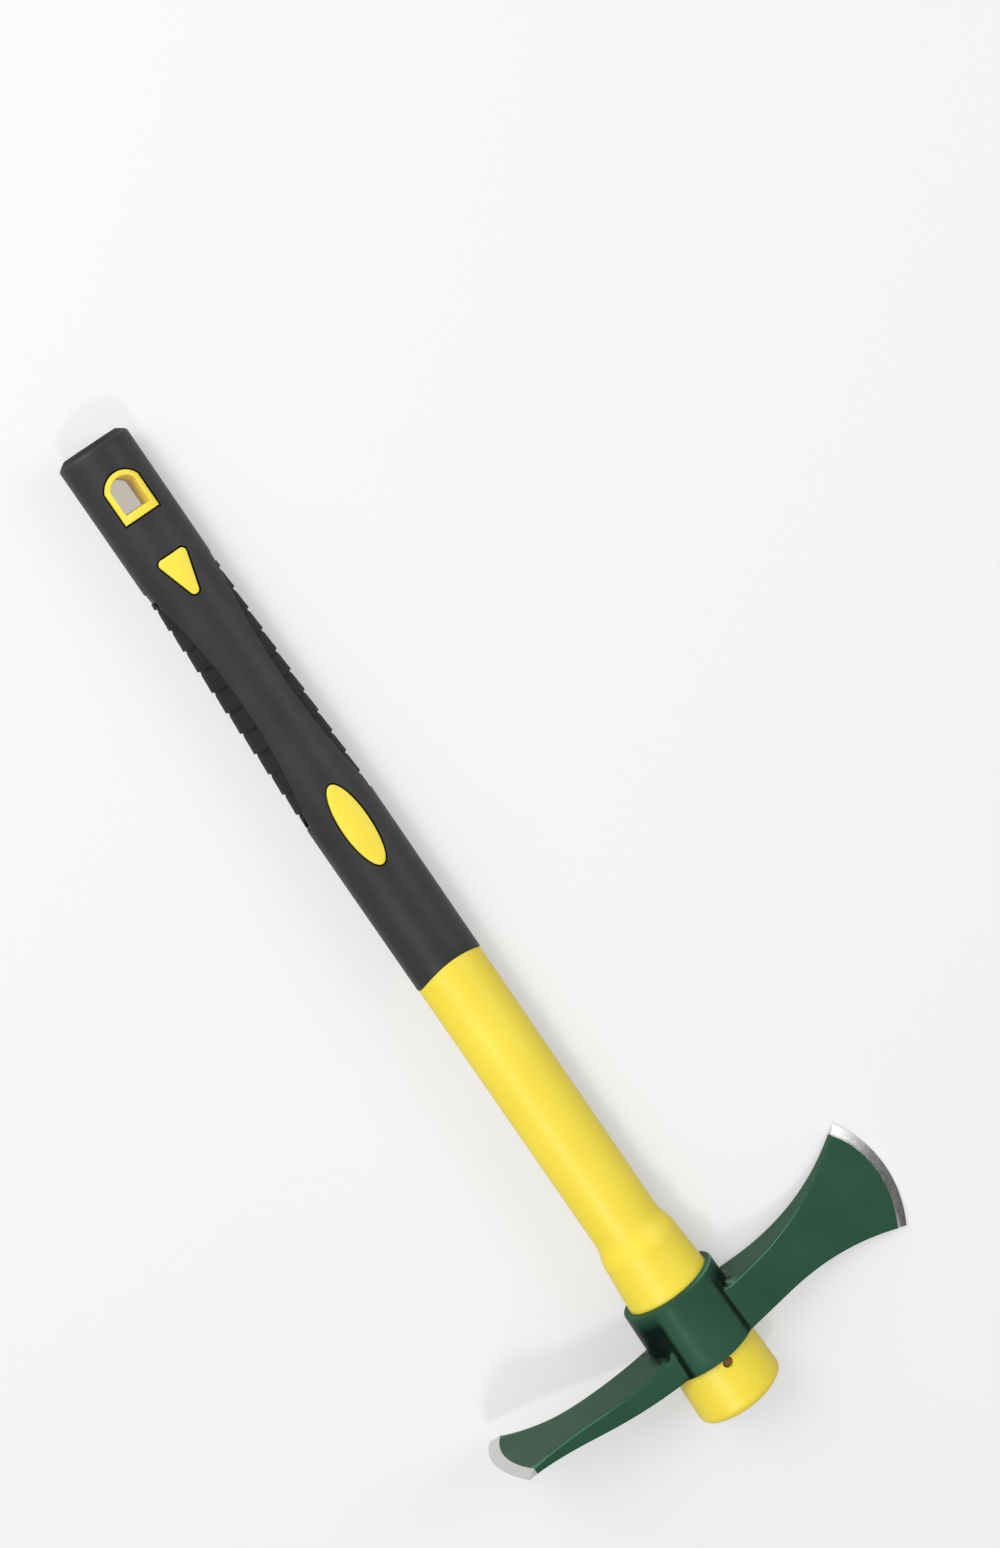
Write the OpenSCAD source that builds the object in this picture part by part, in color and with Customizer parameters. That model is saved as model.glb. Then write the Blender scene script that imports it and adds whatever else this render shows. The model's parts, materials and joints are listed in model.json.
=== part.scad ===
// Cutter mattock: a forged head with an axe blade and a hoe blade, pinned on a moulded
// fibreglass handle that has a soft grip with side treads, colour inlays and a hanging hole.
//
// Working axes before the tool is laid down: x runs from the hoe (-) to the axe (+),
// y runs along the handle from the stub under the head to the butt, z is the front face.

/* [Handle] */
// Length of the whole handle, from the stub's end to the butt
handle_l = 502; // [440:2:600]
// Width of the plain shaft
shaft_w = 32.4; // [29:0.2:34]
// Depth of the plain shaft, front to back
shaft_d = 23.8; // [20:0.2:25]
// Radius of the shaft's two narrow edges
shaft_edge_r = 8.2; // [6:0.1:9]
// Width of the handle at the top of the head
eye_top_w = 40.2; // [38:0.2:41]
// Width of the handle at the bottom of the head
eye_bottom_w = 41.8; // [41:0.2:44]
// Width of the stub's end
stub_end_w = 43; // [42:0.2:46]
// Length of the stub that stands out below the head
stub_l = 27.5; // [20:0.5:40]
// Rounding of the stub's end edge
stub_round = 4.5; // [2:0.5:6]
// Length of the flare above the head
flare_l = 35; // [25:1:60]
// Length of the flare's plain taper, from the head to its shoulder
shoulder_l = 20.5; // [12:0.5:24]
// Width of the handle at the flare's shoulder
shoulder_w = 37.4; // [36:0.2:38]
// Wall of the handle jacket round its fibre core
core_wall = 5; // [3:0.2:6]
// Distance from the end of the fibre core to the hanging eyelet
core_clear = 13; // [10:1:85]
// Diameter of the cross hole for the retaining pin
pin_hole_d = 5; // [3:0.5:6]
// Distance from the underside of the head to the pin's axis
pin_drop = 3; // [2.5:0.5:10]
// Depth of the pin's ends below the stub's surface
pin_recess = 1.2; // [0.5:0.1:3]

/* [Grip] */
// Length of the grip
grip_l = 265; // [220:5:320]
// Width of the grip
grip_w = 33; // [32:0.2:36]
// Wall of the grip sleeve
grip_wall = 2.9; // [2:0.1:4]
// Thickness of the grip's closed end
butt_wall = 6; // [4:0.5:10]
// How far the butt chamfer draws in
butt_chamfer_in = 3.9; // [1:0.1:5]
// Length of the butt chamfer along the handle
butt_chamfer_l = 2.6; // [1:0.1:5]
// Rise of the grip's lower edge at the middle of the front and back
grip_arch = 5; // [2:0.5:8]

/* [Treads] */
// Length of a side tread
tread_l = 119; // [80:1:140]
// Distance from the butt to the middle of the treads
tread_from_butt = 122; // [110:1:150]
// Width of the smooth front between the treads at its narrowest
spine_w = 20.6; // [16:0.2:24]
// Depth of the pocket that holds a tread
tread_t = 1.9; // [1.4:0.1:2.2]
// Spacing of the tread's blocks
tread_pitch = 10.3; // [6:0.1:16]
// Width of the groove between two blocks
tread_groove_w = 1.4; // [0.6:0.1:3]
// Depth of that groove
tread_groove_t = 1; // [0.6:0.1:1.2]
// Height that a block's face rises from its start to its square end
tread_rise = 0.6; // [0.2:0.1:1]

/* [Hanging hole] */
// Distance from the butt to the flat side of the hanging eyelet
eyelet_from_butt = 35; // [30:0.5:50]
// Outer width of the eyelet
eyelet_w = 16.2; // [13:0.2:18]
// Outer length of the eyelet
eyelet_l = 20.3; // [17:0.1:24]
// Outer radius of the eyelet's arched side
eyelet_arch_r = 8.8; // [8.6:0.1:10]
// Wall of the eyelet along its sides and arch
eyelet_wall = 2.3; // [1.5:0.1:3]
// Wall of the eyelet along its flat side
eyelet_sill = 3.4; // [2:0.1:4.5]

/* [Inlays] */
// Distance from the butt to the wide side of the triangular inlay
triangle_from_butt = 54; // [52:0.5:70]
// Width of the triangular inlay
triangle_w = 13.2; // [10:0.2:15]
// Length of the triangular inlay
triangle_l = 19; // [14:0.5:24]
// Corner radius of the triangular inlay
triangle_r = 2; // [1:0.1:2.4]
// Distance from the butt to the middle of the oval inlay
oval_from_butt = 189; // [150:1:200]
// Length of the oval inlay
oval_l = 40; // [30:1:50]
// Width of the oval inlay
oval_w = 12.6; // [9:0.2:14]

/* [Head collar] */
// Height of the collar round the eye
collar_h = 36; // [30:0.5:46]
// Wall of the collar at its top
collar_wall_top = 3.2; // [2.5:0.1:5]
// Wall of the collar at its underside
collar_wall_bottom = 3.2; // [2.5:0.1:5]
// Chamfer of the collar's rims
rim_chamfer = 0.8; // [0.3:0.1:1.5]
// Radius of the hollow fillets beside a blade's root
root_fillet_r = 8; // [5:0.5:10]
// Radius of the hollow fillet on top of a blade's root
top_fillet_r = 5; // [2:0.5:6]

/* [Axe blade] */
// Reach of the axe edge from the handle's axis
axe_reach = 113; // [95:1:140]
// Radius of the curved axe edge
axe_edge_r = 58.8; // [50:0.2:70]
// Height of the edge's middle above the underside of the head
axe_edge_mid = 12.9; // [10:0.1:20]
// Height of the edge's upper corner above that middle
axe_edge_up = 32.5; // [26:0.5:36]
// Depth of the edge's lower corner below that middle
axe_edge_down = 27.9; // [22:0.5:34]
// Height of the axe's root
axe_root_h = 21.8; // [18:0.2:26]
// Distance from the handle's axis to the start of the upper hollow
axe_upper_start = 34; // [30:1:50]
// Distance from the handle's axis to the start of the lower hollow
axe_lower_start = 42; // [30:1:50]
// Thickness of the axe's root beside the collar
axe_root_t = 24; // [18:0.2:26]
// Distance from the handle's axis to the place where the wedge turns into a thin blade
axe_thin_x = 80; // [70:1:86]
// Thickness of the axe at that place
axe_thin_t = 5.2; // [4.4:0.1:6.4]
// Radius of the hollow cheek there
axe_cheek_r = 150; // [100:5:180]
// Thickness of the axe where its ground edge begins
axe_bevel_t = 3; // [2:0.1:4]
// Width of the ground edge
axe_bevel_w = 4.8; // [3:0.1:7]

/* [Hoe blade] */
// Reach of the hoe edge from the handle's axis
hoe_reach = 106.3; // [90:0.5:135]
// Width of the hoe edge
hoe_edge_w = 57; // [48:0.5:64]
// Radius of the curved hoe edge
hoe_edge_r = 67; // [60:1:90]
// Width of the hoe's neck
hoe_neck_w = 26.4; // [22:0.2:30]
// Distance from the handle's axis to the start of the hoe's widening
hoe_neck_end = 62; // [50:1:70]
// Height of the hoe's upper face above the underside of the head
hoe_neck_h = 12.4; // [10:0.2:16]
// Radius of the hoe's hollow upper face
hoe_upper_r = 237; // [210:1:280]
// Distance from the handle's axis to the lowest place of the upper face
hoe_upper_low = 37; // [30:1:45]
// Radius of the hoe's round lower face
hoe_lower_r = 231; // [210:1:280]
// Distance from the handle's axis to the lowest place of the lower face
hoe_lower_low = 9; // [0:1:15]
// Width of the ground edge
hoe_bevel_w = 5.5; // [3:0.1:7]
// Slope of the ground edge to the lower face, in degrees
hoe_bevel_angle = 19; // [14:0.5:24]

/* [Hidden] */
// Room between two pieces that seat in each other
fit_gap = 0.1;
// Thickness left along a ground cutting edge
edge_land = 0.5;
// How far a cut runs past the solid that it opens
overrun = 1;
// How far a fillet starts below the faces that it blends
blend_sink = 0.15;
// Steps of a full circle, of each arc of the handle's oval, of the stub's rounding, of the
// flare and of the oval inlay's outline
$fn = 360;
arc_steps = 9;
round_steps = 4;
flare_steps = 10;
inlay_steps = 60;

// Places along the handle
head_y = stub_l;
rim_y = head_y + collar_h;
flare_y = rim_y + flare_l;
grip_y = handle_l - grip_l;
jacket_top_y = handle_l - butt_wall;
tread_y = handle_l - tread_from_butt;
eyelet_y = handle_l - eyelet_from_butt;
core_l = eyelet_y - core_clear;
triangle_y = handle_l - triangle_from_butt;
oval_y = handle_l - oval_from_butt;
pin_y = head_y - pin_drop;

// The handle's section is an oval of four arcs: two edge arcs and two face arcs, each pair
// meeting in line. Every wider or narrower section is the same oval grown by an even margin.
edge_x = shaft_w / 2 - shaft_edge_r;
face_r = (edge_x ^ 2 + (shaft_d / 2) ^ 2 - shaft_edge_r ^ 2) / (shaft_d - 2 * shaft_edge_r);
face_z = face_r - shaft_d / 2;
half_edge = atan2(face_z, edge_x);

function grow_of(width) = (width - shaft_w) / 2;
eye_top_grow = grow_of(eye_top_w);
eye_bottom_grow = grow_of(eye_bottom_w);
stub_grow = grow_of(stub_end_w);
shoulder_grow = grow_of(shoulder_w);
grip_grow = grow_of(grip_w);
neck_grow = grip_grow - grip_wall;
pocket_grow = grip_grow - tread_t;
core_grow = -core_wall;
rim_grow = eye_top_grow + collar_wall_top;
base_grow = eye_bottom_grow + collar_wall_bottom;
collar_edge_r = shaft_edge_r + rim_grow;
collar_side = edge_x + collar_edge_r;
collar_half_d = shaft_d / 2 + base_grow;

// Above its plain taper the flare is an S of two arcs, round at the shoulder and hollow at the shaft
flare_hollow_share = 0.5;
curve_l = flare_l - shoulder_l;
curve_turn = 2 * atan2(shoulder_grow, curve_l);
curve_hollow_r = curve_l * flare_hollow_share / sin(curve_turn);
curve_round_r = curve_l * (1 - flare_hollow_share) / sin(curve_turn);
curve_round_l = curve_l * (1 - flare_hollow_share);
shoulder_y = rim_y + shoulder_l;

// The arch of the grip's lower edge
arch_r = ((grip_w / 2) ^ 2 + grip_arch ^ 2) / (2 * grip_arch);

// The arc that parts a tread from the smooth front
tread_reach = (grip_w - spine_w) / 2;
tread_arc_r = ((tread_l / 2) ^ 2 + tread_reach ^ 2) / (2 * tread_reach);
// The grooves end where the tread's pointed ends grow too thin to hold one
tread_end_share = 1.4;
groove_reach = tread_l / 2 * sqrt(1 - tread_end_share * tread_groove_t / tread_reach);
side_grooves = floor(groove_reach / tread_pitch);

// The axe's outline: the corners lie on the edge's arc, and each hollow ends at a corner
axe_edge_x = axe_reach - axe_edge_r;
axe_edge_y = head_y + axe_edge_mid;
axe_upper = [axe_edge_x + sqrt(axe_edge_r ^ 2 - axe_edge_up ^ 2), axe_edge_y + axe_edge_up];
axe_lower = [axe_edge_x + sqrt(axe_edge_r ^ 2 - axe_edge_down ^ 2), axe_edge_y - axe_edge_down];
axe_root_y = head_y + axe_root_h;
axe_upper_r = hollow_r(axe_upper[0] - axe_upper_start, axe_upper[1] - axe_root_y);
axe_lower_r = hollow_r(axe_lower[0] - axe_lower_start, head_y - axe_lower[1]);
axe_bevel_x = axe_reach - axe_bevel_w;
axe_lean = atan2((axe_root_t - axe_thin_t) / 2, axe_thin_x - collar_side);
axe_thin_lean = atan2((axe_thin_t - axe_bevel_t) / 2, axe_bevel_x - axe_thin_x);

// The hoe's outline, and the frame of its edge along the lower face
hoe_corner_x = hoe_reach - hoe_edge_r + sqrt(hoe_edge_r ^ 2 - (hoe_edge_w / 2) ^ 2);
hoe_side_r = hollow_r(hoe_corner_x - hoe_neck_end, (hoe_edge_w - hoe_neck_w) / 2);
hoe_tilt = asin((hoe_reach - hoe_lower_low) / hoe_lower_r);
hoe_edge_y = head_y + hoe_lower_r * (1 - cos(hoe_tilt));
hoe_top_y = head_y + hoe_neck_h;
hoe_tip_keep = 4 * hoe_bevel_w;

// The tool lies on the axe's edge, the collar's lower rim and the grip's butt: the handle is
// level between rim and butt, and the roll brings the edge down to the same plane
grip_half_d = shaft_d / 2 + grip_grow;
rest_pitch = -atan2(collar_half_d - grip_half_d, handle_l - butt_chamfer_l - head_y);
rest_r = face_r + base_grow;
rest_lift = face_z + edge_land / 2 - axe_edge_mid * sin(rest_pitch);
rest_roll = asin(rest_r / norm([axe_reach, rest_lift])) - atan2(rest_lift, axe_reach);

// Radius of an arc that starts level and rises by `rise` over `run`
function hollow_r(run, rise) = (run ^ 2 + rise ^ 2) / (2 * rise);

// Where a line from `p` along the unit direction `d` leaves the circle round `q`
function line_meets_circle(p, d, q, r) =
    let (m = p - q, along = m * d)
    p + d * (sqrt(along ^ 2 - m * m + r ^ 2) - along);

// Lay the finished tool down
module at_rest() {
    rotate([rest_pitch, rest_roll, 0])
        children();
}

// Turn a shape that was built upwards so that it runs along the handle
module along_handle() {
    rotate([-90, 0, 0])
        children();
}

// Extrude a front view through the whole depth of the tool
module through_depth() {
    translate([0, 0, -hoe_edge_w])
        linear_extrude(2 * hoe_edge_w)
            children();
}

// Points of an arc round `middle`, its last point left to the next arc
function arc_points(middle, r, from, to) = [
    for (i = [0 : arc_steps - 1])
        let (turn = from + (to - from) * i / arc_steps)
        middle + r * [cos(turn), sin(turn)]
];

// The handle's oval, grown by an even margin
function oval_ring(grow) = concat(
    arc_points([edge_x, 0], shaft_edge_r + grow, -half_edge, half_edge),
    arc_points([0, -face_z], face_r + grow, half_edge, 180 - half_edge),
    arc_points([-edge_x, 0], shaft_edge_r + grow, 180 - half_edge, 180 + half_edge),
    arc_points([0, face_z], face_r + grow, 180 + half_edge, 360 - half_edge)
);

// A straight bar of the handle's section between two places
module oval_bar(grow, from_y, to_y) {
    along_handle()
        translate([0, 0, from_y])
            linear_extrude(to_y - from_y)
                polygon(oval_ring(grow));
}

// A bar whose margin follows its stations, each a place along the handle and a margin
module oval_loft(stations) {
    rings = [for (s = stations) [for (p = oval_ring(s[1])) [p[0], p[1], s[0]]]];
    n = len(rings[0]);
    last = len(stations) - 1;
    sides = [
        for (k = [0 : last - 1], i = [0 : n - 1])
            let (j = (i + 1) % n)
            [k * n + i, (k + 1) * n + i, (k + 1) * n + j, k * n + j]
    ];
    caps = [[for (i = [0 : n - 1]) i], [for (i = [n - 1 : -1 : 0]) last * n + i]];
    along_handle()
        polyhedron([for (ring = rings) each ring], concat(sides, caps));
}

// Stations of the bare handle: rounded stub, tapered eye, S-shaped flare and shaft
function handle_stations() = concat(
    [
        for (i = [0 : round_steps - 1])
            let (turn = 90 * i / round_steps)
            [stub_round * (1 - cos(turn)), stub_grow - stub_round * (1 - sin(turn))]
    ],
    [
        [stub_round, stub_grow],
        [head_y, eye_bottom_grow],
        [rim_y, eye_top_grow]
    ],
    [
        for (i = [0 : flare_steps])
            let (rise = curve_l * i / flare_steps)
            [shoulder_y + rise, curve_grow(rise)]
    ],
    [[grip_y + grip_arch, 0]]
);

// Margin of the flare at a height above its shoulder
function curve_grow(rise) =
    rise < curve_round_l
    ? shoulder_grow - curve_round_r + sqrt(curve_round_r ^ 2 - rise ^ 2)
    : curve_hollow_r - sqrt(curve_hollow_r ^ 2 - (curve_l - rise) ^ 2);

// The round field under the grip's arched lower edge, in front view
module grip_arch_field(gap) {
    translate([0, grip_y + grip_arch - arch_r])
        circle(arch_r + gap);
}

// The field of the handle that shows below the grip
module below_grip() {
    grip_arch_field(0);
    translate([-grip_w, -overrun])
        square([2 * grip_w, grip_y - grip_arch + overrun]);
}

// Front view of the eyelet: straight sides, an arch towards the butt and a flat sill
module eyelet_outline(width, from_y, to_y, arch) {
    inner_w = width / 2 + arch;
    intersection() {
        translate([-width / 2, from_y])
            square([width, to_y - from_y]);
        union() {
            translate([0, to_y - arch])
                circle(arch);
            translate([-inner_w / 2, from_y - overrun])
                square([inner_w, to_y - arch - from_y + overrun]);
        }
    }
}

module eyelet_body(gap) {
    through_depth()
        eyelet_outline(eyelet_w + 2 * gap, eyelet_y - gap, eyelet_y + eyelet_l + gap, eyelet_arch_r + gap);
}

// Front view of the triangular inlay, with its point towards the head
module triangle_outline(gap) {
    r = triangle_r + gap;
    tip = [0, triangle_y - triangle_l + triangle_r];
    corner = [triangle_w / 2 - triangle_r, triangle_y - triangle_r];
    lean = atan2(corner[0], corner[1] - tip[1]);
    out = r * [cos(lean), -sin(lean)];
    for (p = [tip, corner, [-corner[0], corner[1]]])
        translate(p)
            circle(r);
    polygon([
        tip + out,
        corner + out,
        corner + [0, r],
        [-corner[0], corner[1] + r],
        [-corner[0] - out[0], corner[1] + out[1]],
        [-out[0], tip[1] + out[1]]
    ]);
}

// Front view of the oval inlay
module oval_outline(gap) {
    translate([0, oval_y])
        polygon([
            for (i = [0 : inlay_steps - 1])
                let (turn = 360 * i / inlay_steps)
                [(oval_w / 2 + gap) * cos(turn), (oval_l / 2 + gap) * sin(turn)]
        ]);
}

// The oval inlay's shape through the whole depth of the tool
module oval_body(gap) {
    through_depth()
        oval_outline(gap);
}

// The triangular inlay's shape through the whole depth of the tool
module triangle_body(gap) {
    through_depth()
        triangle_outline(gap);
}

// The field of one side tread, in front view
module tread_field(side, gap) {
    through_depth()
        translate([side * (spine_w / 2 + tread_arc_r), tread_y])
            circle(tread_arc_r + gap);
}

// Stations of the treads: blocks that rise towards the head, with a square end and a groove
function tread_stations() =
    let (
        first_y = tread_y - side_grooves * tread_pitch - tread_groove_w / 2,
        block_l = tread_pitch - tread_groove_w,
        low_grow = grip_grow - tread_rise,
        groove_grow = grip_grow - tread_groove_t
    )
    concat(
        [[first_y - block_l, grip_grow]],
        [
            for (i = [0 : 2 * side_grooves])
                let (y = first_y + i * tread_pitch)
                each [
                    [y, low_grow],
                    [y, groove_grow],
                    [y + tread_groove_w, groove_grow],
                    [y + tread_groove_w, grip_grow]
                ]
        ],
        [[first_y + (2 * side_grooves + 1) * tread_pitch, low_grow]]
    );

// The half of the tool on one face
module half(side) {
    translate([-axe_reach, 0, side < 0 ? -hoe_edge_w : 0])
        cube([2 * axe_reach, handle_l, hoe_edge_w]);
}

// An inlay that fills its window in the grip and seats on the jacket
module inlay(side) {
    color("gold")
        difference() {
            intersection() {
                oval_bar(grip_grow, grip_y, handle_l - butt_chamfer_l);
                half(side);
                children();
            }
            oval_bar(neck_grow + fit_gap, grip_y, handle_l);
        }
}

module front_oval_inlay() {
    inlay(1)
        oval_body(0);
}

module back_oval_inlay() {
    inlay(-1)
        oval_body(0);
}

module front_triangle_inlay() {
    inlay(1)
        triangle_body(0);
}

module back_triangle_inlay() {
    inlay(-1)
        triangle_body(0);
}

// Yellow lining of the hanging hole, from face to face
module hanging_eyelet() {
    color("gold")
        difference() {
            intersection() {
                oval_bar(grip_grow, grip_y, handle_l - butt_chamfer_l);
                eyelet_body(0);
            }
            through_depth()
                eyelet_outline(
                    eyelet_w - 2 * eyelet_wall,
                    eyelet_y + eyelet_sill,
                    eyelet_y + eyelet_l - eyelet_wall,
                    eyelet_arch_r - eyelet_wall
                );
        }
}

// A toothed tread set in the side of the grip
module side_tread(side) {
    color([0.14, 0.14, 0.14])
        difference() {
            intersection() {
                oval_loft(tread_stations());
                tread_field(side, -fit_gap);
            }
            oval_bar(pocket_grow + fit_gap, grip_y, handle_l);
        }
}

module axe_side_tread() {
    side_tread(1);
}

module hoe_side_tread() {
    side_tread(-1);
}

// Soft sleeve over the upper half of the handle, closed at the butt
module grip_sleeve() {
    color([0.27, 0.27, 0.28])
        difference() {
            oval_loft([
                [grip_y - grip_arch, grip_grow],
                [handle_l - butt_chamfer_l, grip_grow],
                [handle_l, grip_grow - butt_chamfer_in]
            ]);
            through_depth()
                grip_arch_field(fit_gap);
            oval_bar(neck_grow + fit_gap, grip_y - 2 * grip_arch, jacket_top_y + fit_gap);
            eyelet_body(fit_gap);
            triangle_body(fit_gap);
            oval_body(fit_gap);
            for (side = [-1, 1])
                difference() {
                    tread_field(side, 0);
                    oval_bar(pocket_grow, grip_y - overrun, handle_l);
                }
        }
}

// Moulded jacket: full section from the stub to the grip, then a neck inside the grip
module handle_jacket() {
    color("gold")
        difference() {
            union() {
                intersection() {
                    oval_loft(handle_stations());
                    through_depth()
                        below_grip();
                }
                oval_bar(neck_grow, grip_y - grip_arch, jacket_top_y);
            }
            oval_bar(core_grow + fit_gap, -overrun, core_l + fit_gap);
            pin_hole();
            eyelet_body(fit_gap);
        }
}

// Stiff fibre core, flush with the stub's end
module fibre_core() {
    color("wheat")
        difference() {
            oval_bar(core_grow, 0, core_l);
            pin_hole();
        }
}

module pin_hole() {
    translate([0, pin_y, -hoe_edge_w])
        cylinder(h = 2 * hoe_edge_w, d = pin_hole_d);
}

// Pin across the stub, just under the head, that keeps the head from slipping off
module retaining_pin() {
    pin_l = shaft_d + 2 * eye_bottom_grow - 2 * pin_recess;
    color("dimgray")
        translate([0, pin_y, -pin_l / 2])
            cylinder(h = pin_l, d = pin_hole_d - 2 * fit_gap);
}

// The two hollow fillets, seen along the handle, between a blade's sides and the collar. The
// sides start at a half thickness and lean in by a slope; x is counted away from the handle.
module root_fillets(half_t, lean) {
    along = [cos(lean), -sin(lean)];
    normal = [sin(lean), cos(lean)];
    hub = [edge_x, 0];
    start = [0, half_t - blend_sink] + root_fillet_r * normal;
    middle = line_meets_circle(start, along, hub, collar_edge_r + root_fillet_r);
    foot = middle - root_fillet_r * normal;
    for (side = [-1, 1])
        difference() {
            polygon([hub, [middle[0], side * middle[1]], [foot[0], side * foot[1]]]);
            translate([middle[0], side * middle[1]])
                circle(root_fillet_r);
        }
}

// Extrude a view along the handle, drawn with x to the axe and y to the front, over a height
module up_handle(from_y, to_y) {
    translate([0, to_y, 0])
        rotate([90, 0, 0])
            linear_extrude(to_y - from_y)
                children();
}

// Ring that blends the collar into the top of a blade's root
module top_fillet(side, base_y) {
    translate([side * edge_x, base_y, 0])
        along_handle()
            rotate_extrude()
                translate([collar_edge_r - top_fillet_r, -top_fillet_r])
                    difference() {
                        square([2 * top_fillet_r, 2 * top_fillet_r]);
                        translate([2 * top_fillet_r, 2 * top_fillet_r])
                            circle(top_fillet_r);
                    }
}

// One cheek of the axe seen along the handle: a wedge that runs into a thin blade over a hollow
function axe_cheek() =
    let (
        along = [-cos(axe_lean), sin(axe_lean)],
        tangent_l = axe_cheek_r * tan((axe_lean - axe_thin_lean) / 2),
        start = [axe_thin_x, axe_thin_t / 2] + tangent_l * along,
        middle = start + axe_cheek_r * [sin(axe_lean), cos(axe_lean)]
    )
    concat(
        [[0, axe_root_t / 2 + collar_side * tan(axe_lean)]],
        [
            for (i = [0 : arc_steps])
                let (lean = axe_lean + (axe_thin_lean - axe_lean) * i / arc_steps)
                middle - axe_cheek_r * [sin(lean), cos(lean)]
        ],
        [[axe_reach, axe_bevel_t / 2 - axe_bevel_w * tan(axe_thin_lean)]]
    );

// The axe seen along the handle: both cheeks and their root fillets
module axe_plan() {
    cheek = axe_cheek();
    last = len(cheek) - 1;
    polygon(concat(cheek, [for (i = [last : -1 : 0]) [cheek[i][0], -cheek[i][1]]]));
    root_fillets(cheek[0][1], axe_lean);
}

// The axe seen from the front: hollow upper and lower sides and a round edge
module axe_outline() {
    intersection() {
        difference() {
            polygon([
                [0, head_y],
                [0, axe_root_y],
                [axe_upper_start, axe_root_y],
                axe_upper + [0, overrun],
                [axe_reach + overrun, axe_upper[1] + overrun],
                [axe_reach + overrun, axe_lower[1] - overrun],
                axe_lower - [0, overrun],
                [axe_lower_start, head_y]
            ]);
            translate([axe_upper_start, axe_root_y + axe_upper_r])
                circle(axe_upper_r);
            translate([axe_lower_start, head_y - axe_lower_r])
                circle(axe_lower_r);
        }
        union() {
            translate([axe_edge_x, axe_edge_y])
                circle(axe_edge_r);
            translate([0, head_y])
                square([axe_edge_x, collar_h]);
        }
    }
}

// The two ground faces of the axe edge, as a body that the wedge is cut to
module axe_grind() {
    rise = (axe_bevel_t - edge_land) / 2 / axe_bevel_w * axe_edge_r;
    translate([axe_edge_x, axe_edge_y, 0])
        rotate_extrude()
            polygon([
                [0, edge_land / 2 + rise], [axe_edge_r, edge_land / 2],
                [axe_edge_r, -edge_land / 2], [0, -edge_land / 2 - rise]
            ]);
    translate([0, 0, -collar_half_d])
        cube([axe_edge_x, rim_y, 2 * collar_half_d]);
}

module axe_blade() {
    intersection() {
        union() {
            through_depth()
                axe_outline();
            top_fillet(1, axe_root_y);
        }
        up_handle(0, handle_l)
            axe_plan();
        axe_grind();
    }
}

// The hoe seen along the handle: a straight neck and a wider end, before its sides are hollowed
module hoe_plan() {
    corner = [-hoe_corner_x, hoe_edge_w / 2 + overrun];
    neck = [-hoe_neck_end, hoe_neck_w / 2];
    tip_x = -hoe_reach - overrun;
    polygon([
        [overrun, -neck[1]], [overrun, neck[1]], neck, corner, [tip_x, corner[1]],
        [tip_x, -corner[1]], [corner[0], -corner[1]], [neck[0], -neck[1]]
    ]);
}

// The hollow sides between the hoe's neck and its corners
module hoe_hollows() {
    for (side = [-1, 1])
        translate([-hoe_neck_end, 0, side * (hoe_neck_w / 2 + hoe_side_r)])
            along_handle()
                cylinder(h = handle_l, r = hoe_side_r);
}

// The hoe seen from the front: a blade that thins and curves towards the grip
module hoe_outline() {
    difference() {
        intersection() {
            translate([-hoe_reach - 2 * overrun, head_y])
                square([hoe_reach + 2 * overrun, collar_h]);
            translate([-hoe_lower_low, head_y + hoe_lower_r])
                circle(hoe_lower_r);
        }
        translate([-hoe_upper_low, hoe_top_y + hoe_upper_r])
            circle(hoe_upper_r);
    }
}

// The round edge of the hoe and the ground face on its upper side, square to the lower face
module hoe_grind() {
    rise = hoe_edge_r * tan(hoe_bevel_angle);
    translate([-hoe_reach, hoe_edge_y, 0])
        rotate([0, 0, -hoe_tilt])
            translate([hoe_edge_r, 0, 0])
                along_handle()
                    rotate_extrude()
                        polygon([
                            [0, -hoe_edge_r], [hoe_edge_r, -hoe_edge_r],
                            [hoe_edge_r, edge_land], [0, edge_land + rise]
                        ]);
    translate([-hoe_corner_x + hoe_tip_keep, 0, -hoe_edge_w])
        cube([hoe_corner_x - hoe_tip_keep, handle_l, 2 * hoe_edge_w]);
}

module hoe_blade() {
    difference() {
        intersection() {
            union() {
                through_depth()
                    hoe_outline();
                top_fillet(-1, hoe_top_y);
            }
            union() {
                up_handle(0, handle_l)
                    hoe_plan();
                up_handle(0, handle_l)
                    rotate([0, 0, 180])
                        root_fillets(hoe_neck_w / 2, 0);
            }
            hoe_grind();
        }
        hoe_hollows();
    }
}

// Collar round the eye, drafted towards the grip, with chamfered rims
module collar() {
    oval_loft([
        [head_y, base_grow - rim_chamfer],
        [head_y + rim_chamfer, base_grow],
        [rim_y - rim_chamfer, rim_grow],
        [rim_y, rim_grow - rim_chamfer]
    ]);
}

// The tapered eye
module eye() {
    taper = (eye_bottom_grow - eye_top_grow) / collar_h;
    oval_loft([
        [head_y - overrun, eye_bottom_grow + fit_gap + overrun * taper],
        [rim_y + overrun, eye_top_grow + fit_gap - overrun * taper]
    ]);
}

// One forging: collar, axe blade and hoe blade
module mattock_head() {
    color("darkslategray")
        difference() {
            union() {
                collar();
                axe_blade();
                hoe_blade();
            }
            eye();
        }
}

at_rest() mattock_head();
at_rest() retaining_pin();
at_rest() fibre_core();
at_rest() handle_jacket();
at_rest() grip_sleeve();
at_rest() axe_side_tread();
at_rest() hoe_side_tread();
at_rest() hanging_eyelet();
at_rest() front_oval_inlay();
at_rest() back_oval_inlay();
at_rest() front_triangle_inlay();
at_rest() back_triangle_inlay();
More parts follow.
